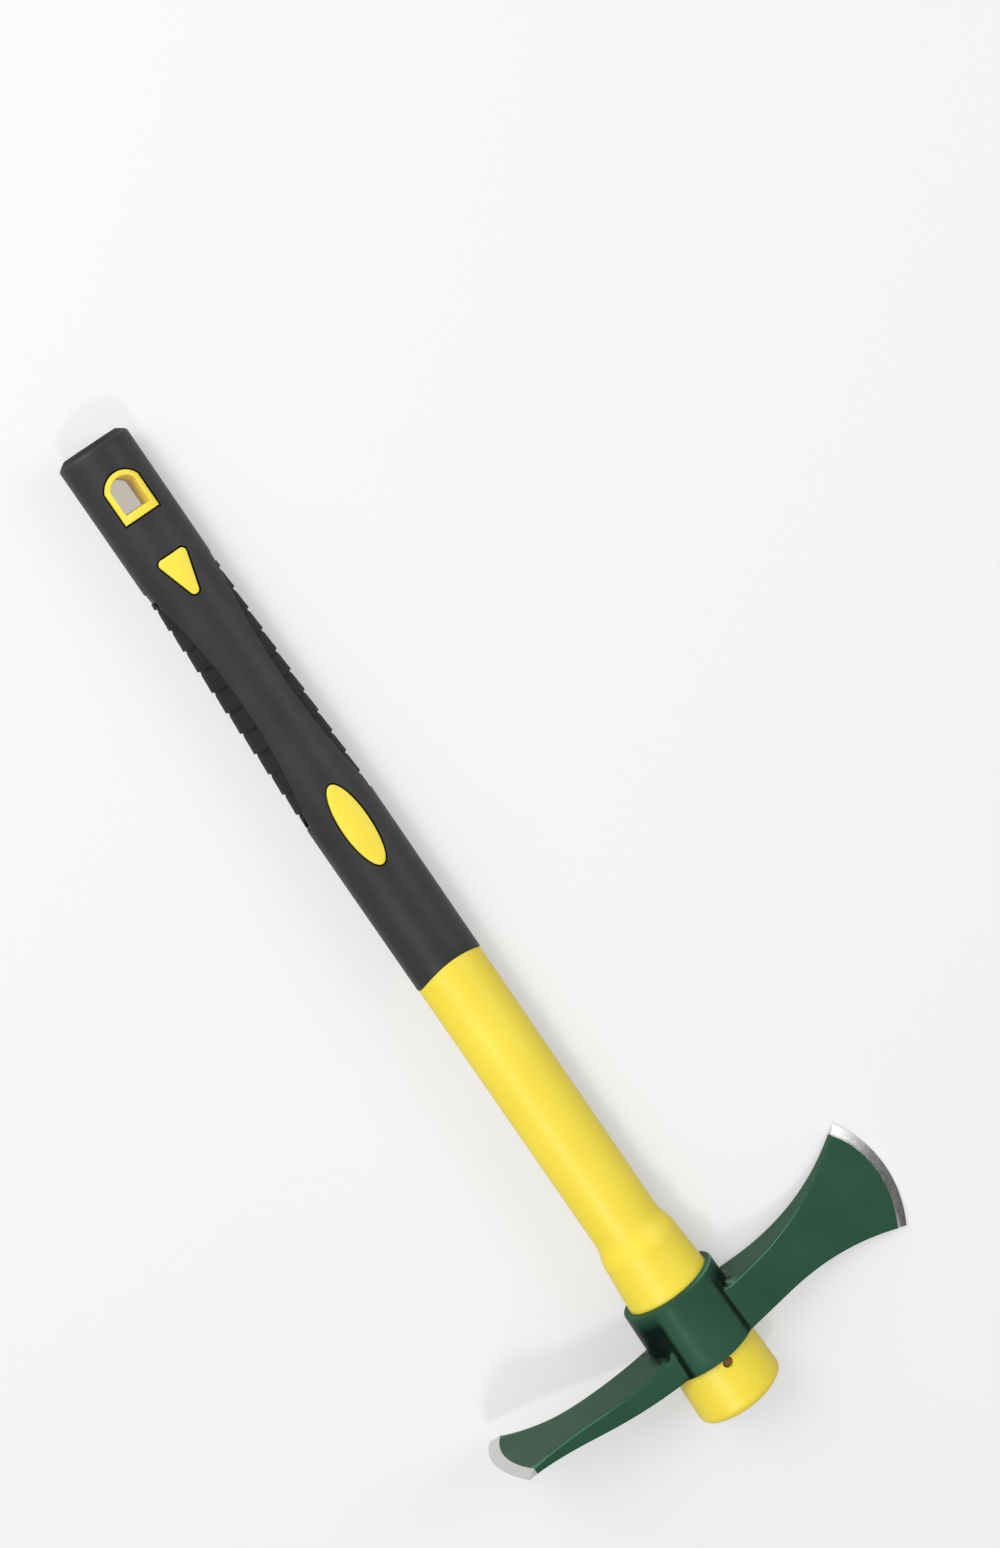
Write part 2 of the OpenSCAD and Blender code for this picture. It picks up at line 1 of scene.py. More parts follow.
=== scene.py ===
"""Looks of a small cutter mattock: painted forged head, moulded handle and soft grip.

Pieces are modelled in the tool's working axes, in millimetres: x runs from the hoe to the axe,
y along the handle from the stub to the butt, z towards the front face. Each finished piece is
then laid down into the shared frame, in metres.
"""

from __future__ import annotations

import json
import logging
import math
from dataclasses import dataclass
from enum import Enum
from functools import partial
from typing import Callable, Iterable, Sequence

import bpy
from mathutils import Matrix, Vector

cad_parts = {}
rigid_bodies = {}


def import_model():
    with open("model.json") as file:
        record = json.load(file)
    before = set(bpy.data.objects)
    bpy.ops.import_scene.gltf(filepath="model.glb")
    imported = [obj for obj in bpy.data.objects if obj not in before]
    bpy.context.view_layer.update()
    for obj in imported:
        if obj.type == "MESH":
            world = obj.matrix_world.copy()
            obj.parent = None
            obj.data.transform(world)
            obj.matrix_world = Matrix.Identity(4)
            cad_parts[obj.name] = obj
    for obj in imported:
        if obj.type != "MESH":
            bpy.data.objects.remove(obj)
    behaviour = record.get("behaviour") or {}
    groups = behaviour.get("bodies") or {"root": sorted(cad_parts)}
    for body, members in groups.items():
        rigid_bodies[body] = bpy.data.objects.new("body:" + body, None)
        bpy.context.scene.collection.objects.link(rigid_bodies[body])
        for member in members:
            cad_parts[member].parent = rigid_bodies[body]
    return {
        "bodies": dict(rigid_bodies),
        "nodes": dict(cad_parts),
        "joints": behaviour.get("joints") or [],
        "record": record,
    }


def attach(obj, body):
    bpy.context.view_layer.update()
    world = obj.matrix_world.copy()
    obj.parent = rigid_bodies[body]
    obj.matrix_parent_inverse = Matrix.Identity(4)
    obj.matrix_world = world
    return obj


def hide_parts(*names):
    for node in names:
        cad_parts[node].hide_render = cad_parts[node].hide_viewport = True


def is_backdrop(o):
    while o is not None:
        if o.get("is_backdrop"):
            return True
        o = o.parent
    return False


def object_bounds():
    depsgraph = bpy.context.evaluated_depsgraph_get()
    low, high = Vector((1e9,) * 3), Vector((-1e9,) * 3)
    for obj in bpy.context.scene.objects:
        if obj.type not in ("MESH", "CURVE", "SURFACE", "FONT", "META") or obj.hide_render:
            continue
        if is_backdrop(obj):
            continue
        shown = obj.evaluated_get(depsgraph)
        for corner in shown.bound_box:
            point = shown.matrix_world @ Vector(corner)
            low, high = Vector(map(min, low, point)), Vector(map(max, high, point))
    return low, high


Piece = bpy.types.Object
Socket = bpy.types.NodeSocket
Pair = tuple[float, float]
Point = tuple[float, float, float]
Colour = tuple[float, float, float]
# An outline in front view, and the points round a section.
Outline = list[Pair]
Ring = list[Point]
# A length as a function of one place, and a place along the handle, which may change with x.
Curve = Callable[[float], float]
Place = float | Curve
# Places along the handle, each with the section's margin there.
Profile = list[tuple[Place, float]]

LOG = logging.getLogger("mattock")
# Vertex mark of painted light on the head: towards 1 a painted highlight on raised edges, towards 0 painted
# shade in the corners.
PAINTED_LIGHT_MARK = "painted_light_mark"
# Metres in a millimetre.
MM = 0.001
# Play between pieces that fit in each other, in millimetres.
GAP = 0.1
# Points nearer than this are merged, in millimetres: on the seam of a loft, and after a cut.
SEAM = 1e-4
SLIVER = 0.005
# Angle in degrees past which an edge stays crisp.
CRISP_DEG = 32.0
# Rounds of halving in which a crossing is found.
HALVINGS = 60


@dataclass(frozen=True)
class Steps:
    """Into how many steps each curved or long stretch is divided."""

    section: int = 160
    ease: int = 4
    stub_round: int = 8
    stub: int = 10
    shoulder: int = 6
    flare: int = 28
    shaft: int = 20
    pin: int = 48
    pin_ease: int = 3
    sleeve: int = 64
    pocket: int = 80
    tread: int = 28
    eyelet_side: int = 10
    eyelet_arch: int = 40
    eyelet_sill: int = 12
    triangle_corner: int = 20
    oval_inlay: int = 96
    rim_round: int = 5
    collar: int = 10
    fillet: int = 14
    cheek: int = 30
    blade: int = 24
    bevel: int = 4
    edge_round: int = 3
    edge_strip: int = 8
    flank: int = 6
    floor: int = 96
    backdrop: int = 12


STEPS = Steps()


class Side(Enum):
    """The two narrow sides of the handle."""

    AXE = 1
    HOE = -1


class Face(Enum):
    """The two broad faces of the handle."""

    FRONT = 1
    BACK = -1


class Change(Enum):
    """What another solid does to a piece."""

    JOIN = "UNION"
    CUT = "DIFFERENCE"


@dataclass(frozen=True)
class ToolFrame:
    """Where the tool's working axes lie in the shared frame."""

    along: Vector
    front: Vector

    @classmethod
    def from_record(cls, record: dict) -> ToolFrame:
        """The frame whose y leaves the stub's end face and whose z runs through the hang hole."""
        axes = {mount["name"]: Vector(mount["axis"]) for mount in record["mounts"]}
        return cls(-axes["handle_end_face"].normalized(), axes["hang_hole"].normalized())

    def matrix(self) -> Matrix:
        """Matrix from working millimetres to the shared frame's metres.

        Returns:
            The matrix, a turn and a scale.
        """
        across = self.along.cross(self.front).normalized()
        turn = Matrix((across, self.along, across.cross(self.along))).transposed()
        return turn.to_4x4() @ Matrix.Scale(MM, 4)


@dataclass(frozen=True)
class Oval:
    """The handle's section: two edge arcs and two face arcs that meet in line."""

    width: float = 32.4
    depth: float = 23.8
    edge_r: float = 8.2

    @property
    def edge_x(self) -> float:
        """Middle of the edge arc."""
        return self.width / 2 - self.edge_r

    @property
    def face_r(self) -> float:
        """Radius of the face arc."""
        rise = self.edge_x**2 + (self.depth / 2) ** 2 - self.edge_r**2
        return rise / (self.depth - 2 * self.edge_r)

    @property
    def face_z(self) -> float:
        """How far the face arc's middle lies behind the handle's axis."""
        return self.face_r - self.depth / 2

    @property
    def half_edge(self) -> float:
        """Half of the edge arc's angle."""
        return math.atan2(self.face_z, self.edge_x)

    def grow_of(self, width: float) -> float:
        """Margin that brings the plain section to a width."""
        return (width - self.width) / 2

    def at(self, turn: float, grow: float) -> Pair:
        """Point of the grown section whose outward normal has a given angle.

        Args:
            turn: Angle of the normal, from x towards z.
            grow: Even margin of the section.

        Returns:
            The point's x and z.
        """
        turn = math.remainder(turn, 2 * math.pi)
        lean = abs(turn)
        if lean <= self.half_edge:
            middle, radius = (self.edge_x, 0.0), self.edge_r
        elif lean >= math.pi - self.half_edge:
            middle, radius = (-self.edge_x, 0.0), self.edge_r
        else:
            middle, radius = (0.0, -math.copysign(self.face_z, turn)), self.face_r
        reach = radius + grow
        return middle[0] + reach * math.cos(turn), middle[1] + reach * math.sin(turn)

    def turn_at(self, x: float, grow: float) -> float:
        """Angle of the normal at a place on the front half of the grown section.

        Args:
            x: The place across the handle.
            grow: Even margin of the section.

        Returns:
            The angle, from x towards z.
        """
        reach = self.face_r + grow
        if abs(x) <= reach * math.cos(self.half_edge):
            return math.acos(x / reach)
        lean = math.acos(min(1.0, (abs(x) - self.edge_x) / (self.edge_r + grow)))
        return lean if x > 0 else math.pi - lean

    def front_z(self, x: float, grow: float) -> float:
        """Height of the front half of the grown section at a place."""
        return self.at(self.turn_at(x, grow), grow)[1]


OVAL = Oval()


def oval_ring(grow: float, y: Place) -> Ring:
    """One ring of the handle's section.

    Args:
        grow: Margin of the section.
        y: Place along the handle, or a function of x that gives it.

    Returns:
        The ring's points.
    """
    ring = []
    for i in range(STEPS.section):
        x, z = OVAL.at(2 * math.pi * i / STEPS.section, grow)
        ring.append((x, y(x) if callable(y) else y, z))
    return ring


def oval_rings(profile: Profile) -> list[Ring]:
    """Rings of the handle's section along a profile."""
    return [oval_ring(grow, y) for y, grow in profile]


def spread(low: float, high: float, steps: int) -> list[float]:
    """Even places from low to high, both ends included."""
    return [low + (high - low) * i / steps for i in range(steps + 1)]


def quarter(steps: int) -> list[Pair]:
    """Sines and cosines of an even quarter turn, both ends included."""
    turns = [math.pi / 2 * i / steps for i in range(steps + 1)]
    return [(math.sin(t), math.cos(t)) for t in turns]


def rounded(y: float, grow: float, radius: float, steps: int) -> Profile:
    """Quarter round at the lower end of a skin."""
    return [(y + radius * (1 - c), grow - radius * (1 - s)) for s, c in quarter(steps)]


def eased(corners: Sequence[Point]) -> Profile:
    """Ease the corners of a profile.

    Args:
        corners: Place along the handle, margin and size of the easing of each corner.

    Returns:
        The eased profile.
    """
    spots = [Vector(corner[:2]) for corner in corners]
    profile = [tuple(spots[0])]
    for before, spot, after, corner in zip(spots, spots[1:], spots[2:], corners[1:]):
        first = spot + (before - spot).normalized() * corner[2]
        last = spot + (after - spot).normalized() * corner[2]
        places = spread(0, 1, STEPS.ease) if corner[2] else [0.0]
        profile += [tuple(first.lerp(spot, t).lerp(spot.lerp(last, t), t)) for t in places]
    return [*profile, tuple(spots[-1])]


def arc_radius(run: float, rise: float) -> float:
    """Radius of an arc that starts along a line and leaves it by a rise over a run."""
    return (run**2 + rise**2) / (2 * rise)


def sag(radius: float, run: float) -> float:
    """How far an arc has left the line that it starts along, after a run."""
    return radius - math.sqrt(radius**2 - run**2)


def mirrored(points: Iterable[Point]) -> Ring:
    """The same points on the tool's other face."""
    return [(x, y, -z) for x, y, z in points]


def centre_of(outline: Outline) -> Vector:
    """Mean of an outline's points."""
    return Vector((sum(p[0] for p in outline), sum(p[1] for p in outline))) / len(outline)


def drawn_in(outline: Outline, size: float) -> Outline:
    """An outline drawn in towards its middle, to a share of its size."""
    middle = centre_of(outline)
    return [tuple(middle.lerp(Vector(p), size)) for p in outline]


def bulges(arc: Sequence[Vector]) -> list[Vector]:
    """How far each point of an arc along a blade's edge stands out from the arc's chord."""
    return [spot - arc[0].lerp(arc[-1], t) for spot, t in zip(arc, spread(0, 1, STEPS.blade))]


def solve(function: Curve, low: float, high: float) -> float:
    """Find where a rising function crosses zero.

    Args:
        function: The function.
        low: A place before the crossing.
        high: A place after it.

    Returns:
        The place of the crossing.
    """
    for _ in range(HALVINGS):
        middle = (low + high) / 2
        if function(middle) < 0:
            low = middle
        else:
            high = middle
    return low


def pick(piece: Piece) -> None:
    """Make a piece the active one and the only one selected.

    Args:
        piece: The piece.
    """
    bpy.ops.object.select_all(action="DESELECT")
    piece.select_set(True)
    bpy.context.view_layer.objects.active = piece


def face_outwards() -> None:
    """Turn all faces of the mesh in edit mode outwards, and leave edit mode."""
    bpy.ops.mesh.select_all(action="SELECT")
    bpy.ops.mesh.normals_make_consistent(inside=False)
    bpy.ops.object.mode_set(mode="OBJECT")


def add_loft(name: str, rings: Sequence[Ring], looped: bool = False) -> Piece:
    """Model a tube through a row of rings.

    A grid is added, its columns are rolled into the rings, and its seam is merged. Open ends
    are filled.

    Args:
        name: Name of the new piece.
        rings: Rings of equal length, in order.
        looped: True where the last ring joins the first.

    Returns:
        The closed piece, in working millimetres.
    """
    rows = [*rings, rings[0]] if looped else list(rings)
    columns = len(rings[0])
    bpy.ops.object.select_all(action="DESELECT")
    bpy.ops.mesh.primitive_grid_add(x_subdivisions=columns, y_subdivisions=len(rows) - 1)
    piece = bpy.context.object
    piece.name = name
    piece.data.name = name
    flat = [c for row in rows for p in [*row, row[0]] for c in p]
    piece.data.vertices.foreach_set("co", flat)
    bpy.ops.object.mode_set(mode="EDIT")
    bpy.ops.mesh.select_all(action="SELECT")
    bpy.ops.mesh.remove_doubles(threshold=SEAM)
    if not looped:
        bpy.ops.mesh.select_all(action="DESELECT")
        bpy.ops.mesh.select_non_manifold(use_wire=False, use_multi_face=False, use_verts=False)
        bpy.ops.mesh.fill_holes(sides=0)
    face_outwards()
    return piece


def prism(name: str, outline: Outline, half_depth: float) -> Piece:
    """A cutter: an outline in front view, run through the tool's depth."""
    return add_loft(name, [[(x, y, z) for x, y in outline] for z in (-half_depth, half_depth)])


def combine(piece: Piece, tools: Iterable[Piece], change: Change) -> None:
    """Change a piece by other solids, which are used up.

    Args:
        piece: The piece to change.
        tools: Closed solids.
        change: What they do to it.
    """
    pick(piece)
    for tool in tools:
        step = piece.modifiers.new(change.name.title(), "BOOLEAN")
        step.operation = change.value
        step.solver = "EXACT"
        step.object = tool
        bpy.ops.object.modifier_apply(modifier=step.name)
        bpy.data.meshes.remove(tool.data)
        weld(piece)


def weld(piece: Piece) -> None:
    """Merge the slivers that a cut leaves, and split many-sided faces into triangles.

    Args:
        piece: The piece.
    """
    pick(piece)
    bpy.ops.object.mode_set(mode="EDIT")
    bpy.ops.mesh.select_all(action="SELECT")
    bpy.ops.mesh.remove_doubles(threshold=SLIVER)
    bpy.ops.mesh.select_all(action="DESELECT")
    bpy.ops.mesh.select_face_by_sides(number=4, type="GREATER")
    bpy.ops.mesh.quads_convert_to_tris(quad_method="BEAUTY", ngon_method="BEAUTY")
    face_outwards()


def smooth(piece: Piece, angle: float = CRISP_DEG) -> Piece:
    """Shade a piece smooth, with edges sharper than an angle in degrees kept crisp.

    Args:
        piece: The piece.
        angle: The angle.

    Returns:
        The same piece.
    """
    pick(piece)
    bpy.ops.object.shade_smooth_by_angle(angle=math.radians(angle))
    return piece


@dataclass(frozen=True)
class Grain:
    """Noise over a surface, with its waves in a metre and its height where it is raised."""

    waves: float
    detail: float = 3.0
    stretch: Point = (1, 1, 1)
    strength: float = 0.0
    height_mm: float = 0.0


class Board:
    """The node tree of a material or a world, with short calls to add and join nodes."""

    def __init__(self, owner: bpy.types.Material | bpy.types.World) -> None:
        """Open a tree that has only its first shader.

        Args:
            owner: The new material or world.
        """
        owner.use_nodes = True
        self.owner = owner
        self.tree = owner.node_tree
        self.shader = next(node for node in self.tree.nodes if not node.type.startswith("OUTPUT"))
        self.places = self.add("TexCoord").outputs

    def add(self, kind: str, **sockets: object) -> bpy.types.Node:
        """Add a node and fill its inputs.

        Args:
            kind: The node's type, without the ShaderNode prefix.
            sockets: Values or outputs, by input name with spaces as underscores.

        Returns:
            The new node.
        """
        node = self.tree.nodes.new("ShaderNode" + kind)
        for name, value in sockets.items():
            self.feed(node, name.replace("_", " "), value)
        return node

    def feed(self, node: bpy.types.Node, name: str | int, value: object) -> None:
        """Set an input to a value, or link it to an output.

        Args:
            node: The node.
            name: The input's name, or its number.
            value: The value or the output.
        """
        if isinstance(value, Socket):
            self.tree.links.new(value, node.inputs[name])
        else:
            node.inputs[name].default_value = value

    def set(self, **sockets: object) -> None:
        """Fill the shader's own inputs."""
        for name, value in sockets.items():
            self.feed(self.shader, name.replace("_", " "), value)

    def noise(self, grain: Grain) -> Socket:
        """Noise over the object, from 0 to 1."""
        place = self.add("Mapping", Vector=self.places["Object"], Scale=grain.stretch).outputs["Vector"]
        return self.add("TexNoise", Vector=place, Scale=grain.waves, Detail=grain.detail).outputs["Fac"]

    def ramp(self, factor: Socket, places: Sequence[float], colours: Sequence[Colour]) -> Socket:
        """Colours or greys over a factor.

        Args:
            factor: The output that is looked up.
            places: The factor at each colour.
            colours: The colours.

        Returns:
            The colour output.
        """
        node = self.add("ValToRGB", Fac=factor)
        marks = node.color_ramp.elements
        while len(marks) < len(places):
            marks.new(0.5)
        for mark, place, colour in zip(marks, places, colours):
            mark.position = place
            mark.color = (*colour, 1.0)
        return node.outputs["Color"]

    def pair(self, kind: str, first: object, second: object) -> bpy.types.Node:
        """Add a node whose first two inputs are numbered.

        Args:
            kind: The node's type, without the ShaderNode prefix.
            first: Value or output for the first input.
            second: Value or output for the second input.

        Returns:
            The new node.
        """
        node = self.add(kind)
        self.feed(node, 0, first)
        self.feed(node, 1, second)
        return node

    def plus(self, first: Socket, second: Socket) -> Socket:
        """Sum of two outputs."""
        return self.pair("Math", first, second).outputs["Value"]

    def level(self, factor: Socket, low: float, high: float) -> Socket:
        """Bring a factor from 0 to 1 into a range."""
        return self.add("MapRange", Value=factor, To_Min=low, To_Max=high).outputs["Result"]

    def bump(self, grain: Grain) -> None:
        """Raise the surface by a grain, after what is raised already.

        Args:
            grain: The grain, with its strength and height.
        """
        height = self.noise(grain)
        node = self.add("Bump", Height=height, Strength=grain.strength, Distance=grain.height_mm * MM)
        before = self.shader.inputs["Normal"].links
        if before:
            self.feed(node, "Normal", before[0].from_socket)
        self.set(Normal=node.outputs["Normal"])


@dataclass(frozen=True)
class Finish:
    """A surface whose colour, gloss and relief each follow a grain."""

    name: str
    dark: Colour
    light: Colour
    clouds: Grain
    span: Pair
    gloss: Grain
    roughness: Pair
    grain: Grain
    metallic: float = 0.0
    specular: float = 0.5

    def material(self) -> bpy.types.Material:
        """Build the finish.

        Returns:
            The material.
        """
        board = Board(bpy.data.materials.new(self.name))
        tone = board.ramp(board.noise(self.clouds), self.span, (self.dark, self.light))
        gloss = board.level(board.noise(self.gloss), *self.roughness)
        board.set(Base_Color=tone, Roughness=gloss)
        board.set(Metallic=self.metallic, Specular_IOR_Level=self.specular)
        board.bump(self.grain)
        return board.owner


@dataclass(frozen=True)
class GroundSteel(Finish):
    """Bare steel of a ground cutting edge, with fine grinding lines."""

    name: str = "ground_steel"
    dark: Colour = (0.56, 0.56, 0.55)
    light: Colour = (0.68, 0.68, 0.67)
    clouds: Grain = Grain(2400, 2, (1, 0.1, 1), strength=0.04, height_mm=0.01)
    span: Pair = (0.3, 0.7)
    gloss: Grain = Grain(400, 2)
    roughness: Pair = (0.18, 0.36)
    grain: Grain = clouds
    metallic: float = 1.0


@dataclass(frozen=True)
class PinSteel(Finish):
    """Dull dark brown steel of the retaining pin."""

    name: str = "pin_steel"
    dark: Colour = (0.10, 0.045, 0.015)
    light: Colour = (0.30, 0.16, 0.05)
    clouds: Grain = Grain(700, 4, strength=0.3, height_mm=0.05)
    span: Pair = (0.35, 0.65)
    gloss: Grain = clouds
    roughness: Pair = (0.45, 0.75)
    grain: Grain = clouds
    metallic: float = 0.35


@dataclass(frozen=True)
class YellowPlastic(Finish):
    """Bright moulded plastic with a satin skin."""

    name: str = "yellow_plastic"
    dark: Colour = (0.93, 0.73, 0.048)
    light: Colour = (0.98, 0.80, 0.070)
    clouds: Grain = Grain(24)
    span: Pair = (0.25, 0.75)
    gloss: Grain = Grain(160)
    roughness: Pair = (0.36, 0.48)
    grain: Grain = Grain(900, 2, strength=0.12, height_mm=0.03)


@dataclass(frozen=True)
class GripRubber(Finish):
    """Dark grey soft-touch rubber with a fine matt grain."""

    name: str = "grip_rubber"
    dark: Colour = (0.023, 0.024, 0.025)
    light: Colour = (0.031, 0.032, 0.034)
    clouds: Grain = Grain(45, 4)
    span: Pair = (0.3, 0.7)
    gloss: Grain = Grain(260)
    roughness: Pair = (0.39, 0.53)
    grain: Grain = Grain(2600, 2, strength=0.3, height_mm=0.04)
    specular: float = 0.35


@dataclass(frozen=True)
class TreadRubberAndPaintedButtShade(GripRubber):
    """Black rough rubber of the treads, with a coarser torn grain; on the butt's end faces its black is
    painted shade.
    """

    name: str = "tread_rubber"
    dark: Colour = (0.007, 0.007, 0.007)
    light: Colour = (0.013, 0.013, 0.013)
    roughness: Pair = (0.63, 0.77)
    grain: Grain = Grain(2600, 2, strength=0.3, height_mm=0.2)


@dataclass(frozen=True)
class PaintedGrooveShade(GripRubber):
    """Sunk rubber round the yellow inlays, near black as painted shade in the narrow groove."""

    name: str = "painted_groove_shade"
    dark: Colour = (0.0015, 0.0015, 0.0015)
    light: Colour = (0.003, 0.003, 0.003)
    roughness: Pair = (0.73, 0.87)


@dataclass(frozen=True)
class FibreEnd:
    """Sawn end of a glass-fibre bar: pale resin with fibre specks."""

    name: str = "fibre_end"
    resin: Colour = (0.62, 0.52, 0.30)
    fibre: Colour = (0.80, 0.74, 0.55)
    specks: Grain = Grain(2200, 2, (1, 0.15, 1), strength=0.4, height_mm=0.06)
    span: Pair = (0.4, 0.62)
    roughness: float = 0.6

    def material(self) -> bpy.types.Material:
        """Build the fibre.

        Returns:
            The material.
        """
        board = Board(bpy.data.materials.new(self.name))
        tone = board.ramp(board.noise(self.specks), self.span, (self.resin, self.fibre))
        board.set(Base_Color=tone, Roughness=self.roughness)
        board.bump(self.specks)
        return board.owner


@dataclass(frozen=True)
class Paint:
    """Baked green paint over a forging, with orange peel: a painted highlight on raised edges and painted
    shade in the corners.
    """

    name: str = "green_paint"
    # Painted shade in the corners beside the blades' roots.
    corner_shade: Colour = (0.004, 0.010, 0.007)
    dark: Colour = (0.027, 0.080, 0.049)
    light: Colour = (0.035, 0.098, 0.060)
    # Painted highlight on raised edges.
    edge_highlight: Colour = (0.080, 0.250, 0.160)
    span: tuple[float, ...] = (0.1, 0.46, 0.54, 0.6, 0.95)
    patches: Grain = Grain(38, 4)
    patch_share: float = 0.2
    gloss: Grain = Grain(90)
    roughness: Pair = (0.25, 0.37)
    specular: float = 0.07
    sheen: Colour = (0.45, 1.0, 0.7)
    peel: Grain = Grain(700, 2, strength=0.2, height_mm=0.04)
    ripple: Grain = Grain(120, strength=0.2, height_mm=0.08)

    def material(self) -> bpy.types.Material:
        """Build the paint.

        Returns:
            The material.
        """
        board = Board(bpy.data.materials.new(self.name))
        # Painted light: the head's vertex mark adds a painted highlight on raised edges and painted shade in
        # the corners.
        drawn = board.add("Attribute")
        drawn.attribute_name = PAINTED_LIGHT_MARK
        patches = board.level(board.noise(self.patches), 0.0, self.patch_share)
        edges = board.level(drawn.outputs["Fac"], 0.0, 1 - self.patch_share)
        tones = (self.corner_shade, self.dark, self.light, self.light, self.edge_highlight)
        tone = board.ramp(board.plus(patches, edges), self.span, tones)
        gloss = board.level(board.noise(self.gloss), *self.roughness)
        board.set(Base_Color=tone, Roughness=gloss)
        board.set(Specular_IOR_Level=self.specular, Specular_Tint=(*self.sheen, 1.0))
        board.bump(self.peel)
        board.bump(self.ripple)
        return board.owner


@dataclass(frozen=True)
class PaleFloor:
    """Plain pale floor, with one tone for the eye and reflections and another that it throws back."""

    name: str = "pale_floor"
    tone: Colour = (0.50, 0.50, 0.50)
    roughness: float = 0.9
    glow: float = 0.40
    bounce: Colour = (0.45, 0.45, 0.45)

    def material(self) -> bpy.types.Material:
        """Build the floor's finish.

        Returns:
            The material.
        """
        board = Board(bpy.data.materials.new(self.name))
        board.set(Base_Color=(*self.tone, 1.0), Roughness=self.roughness, Specular_IOR_Level=0.0)
        board.set(Emission_Color=(1.0, 1.0, 1.0, 1.0), Emission_Strength=self.glow)
        bounce = board.add("BsdfDiffuse", Color=(*self.bounce, 1.0))
        path = board.add("LightPath").outputs
        rays = board.plus(path["Is Camera Ray"], path["Is Glossy Ray"])
        choice = board.add("MixShader", Fac=board.plus(rays, path["Is Transmission Ray"]))
        board.feed(choice, 1, bounce.outputs["BSDF"])
        board.feed(choice, 2, board.shader.outputs["BSDF"])
        out = next(node for node in board.tree.nodes if node.type == "OUTPUT_MATERIAL")
        board.feed(out, "Surface", choice.outputs["Shader"])
        return board.owner


class Shop:
    """Lays finished pieces down into the shared frame and dresses them."""

    def __init__(self, frame: dict) -> None:
        """Make every finish once.

        Args:
            frame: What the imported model's loader returned.
        """
        self.matrix = ToolFrame.from_record(frame["record"]).matrix()
        rubbers = (GripRubber, TreadRubberAndPaintedButtShade, PaintedGrooveShade)
        finishes = (Paint, GroundSteel, YellowPlastic, *rubbers, FibreEnd, PinSteel)
        self.materials = {kind: kind().material() for kind in finishes}

    def hand_over(
        self,
        piece: Piece,
        node: str,
        finishes: Sequence[type],
        marks: Sequence[type] | None = None,
    ) -> None:
        """Lay a piece down, dress it and let it stand for its node.

        Args:
            piece: The finished piece, in working millimetres.
            node: Name of the node that it stands for.
            finishes: The finishes on it, the main one first.
            marks: Each face's finish, where there are more than one.
        """
        mesh = piece.data
        mesh.transform(self.matrix)
        mesh.materials.clear()
        for finish in finishes:
            mesh.materials.append(self.materials[finish])
        numbers = [finishes.index(mark) for mark in marks or [finishes[0]] * len(mesh.polygons)]
        mesh.polygons.foreach_set("material_index", numbers)
        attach(piece, "root")
        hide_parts(node)
        LOG.info("%s: %d faces", piece.name, len(mesh.polygons))


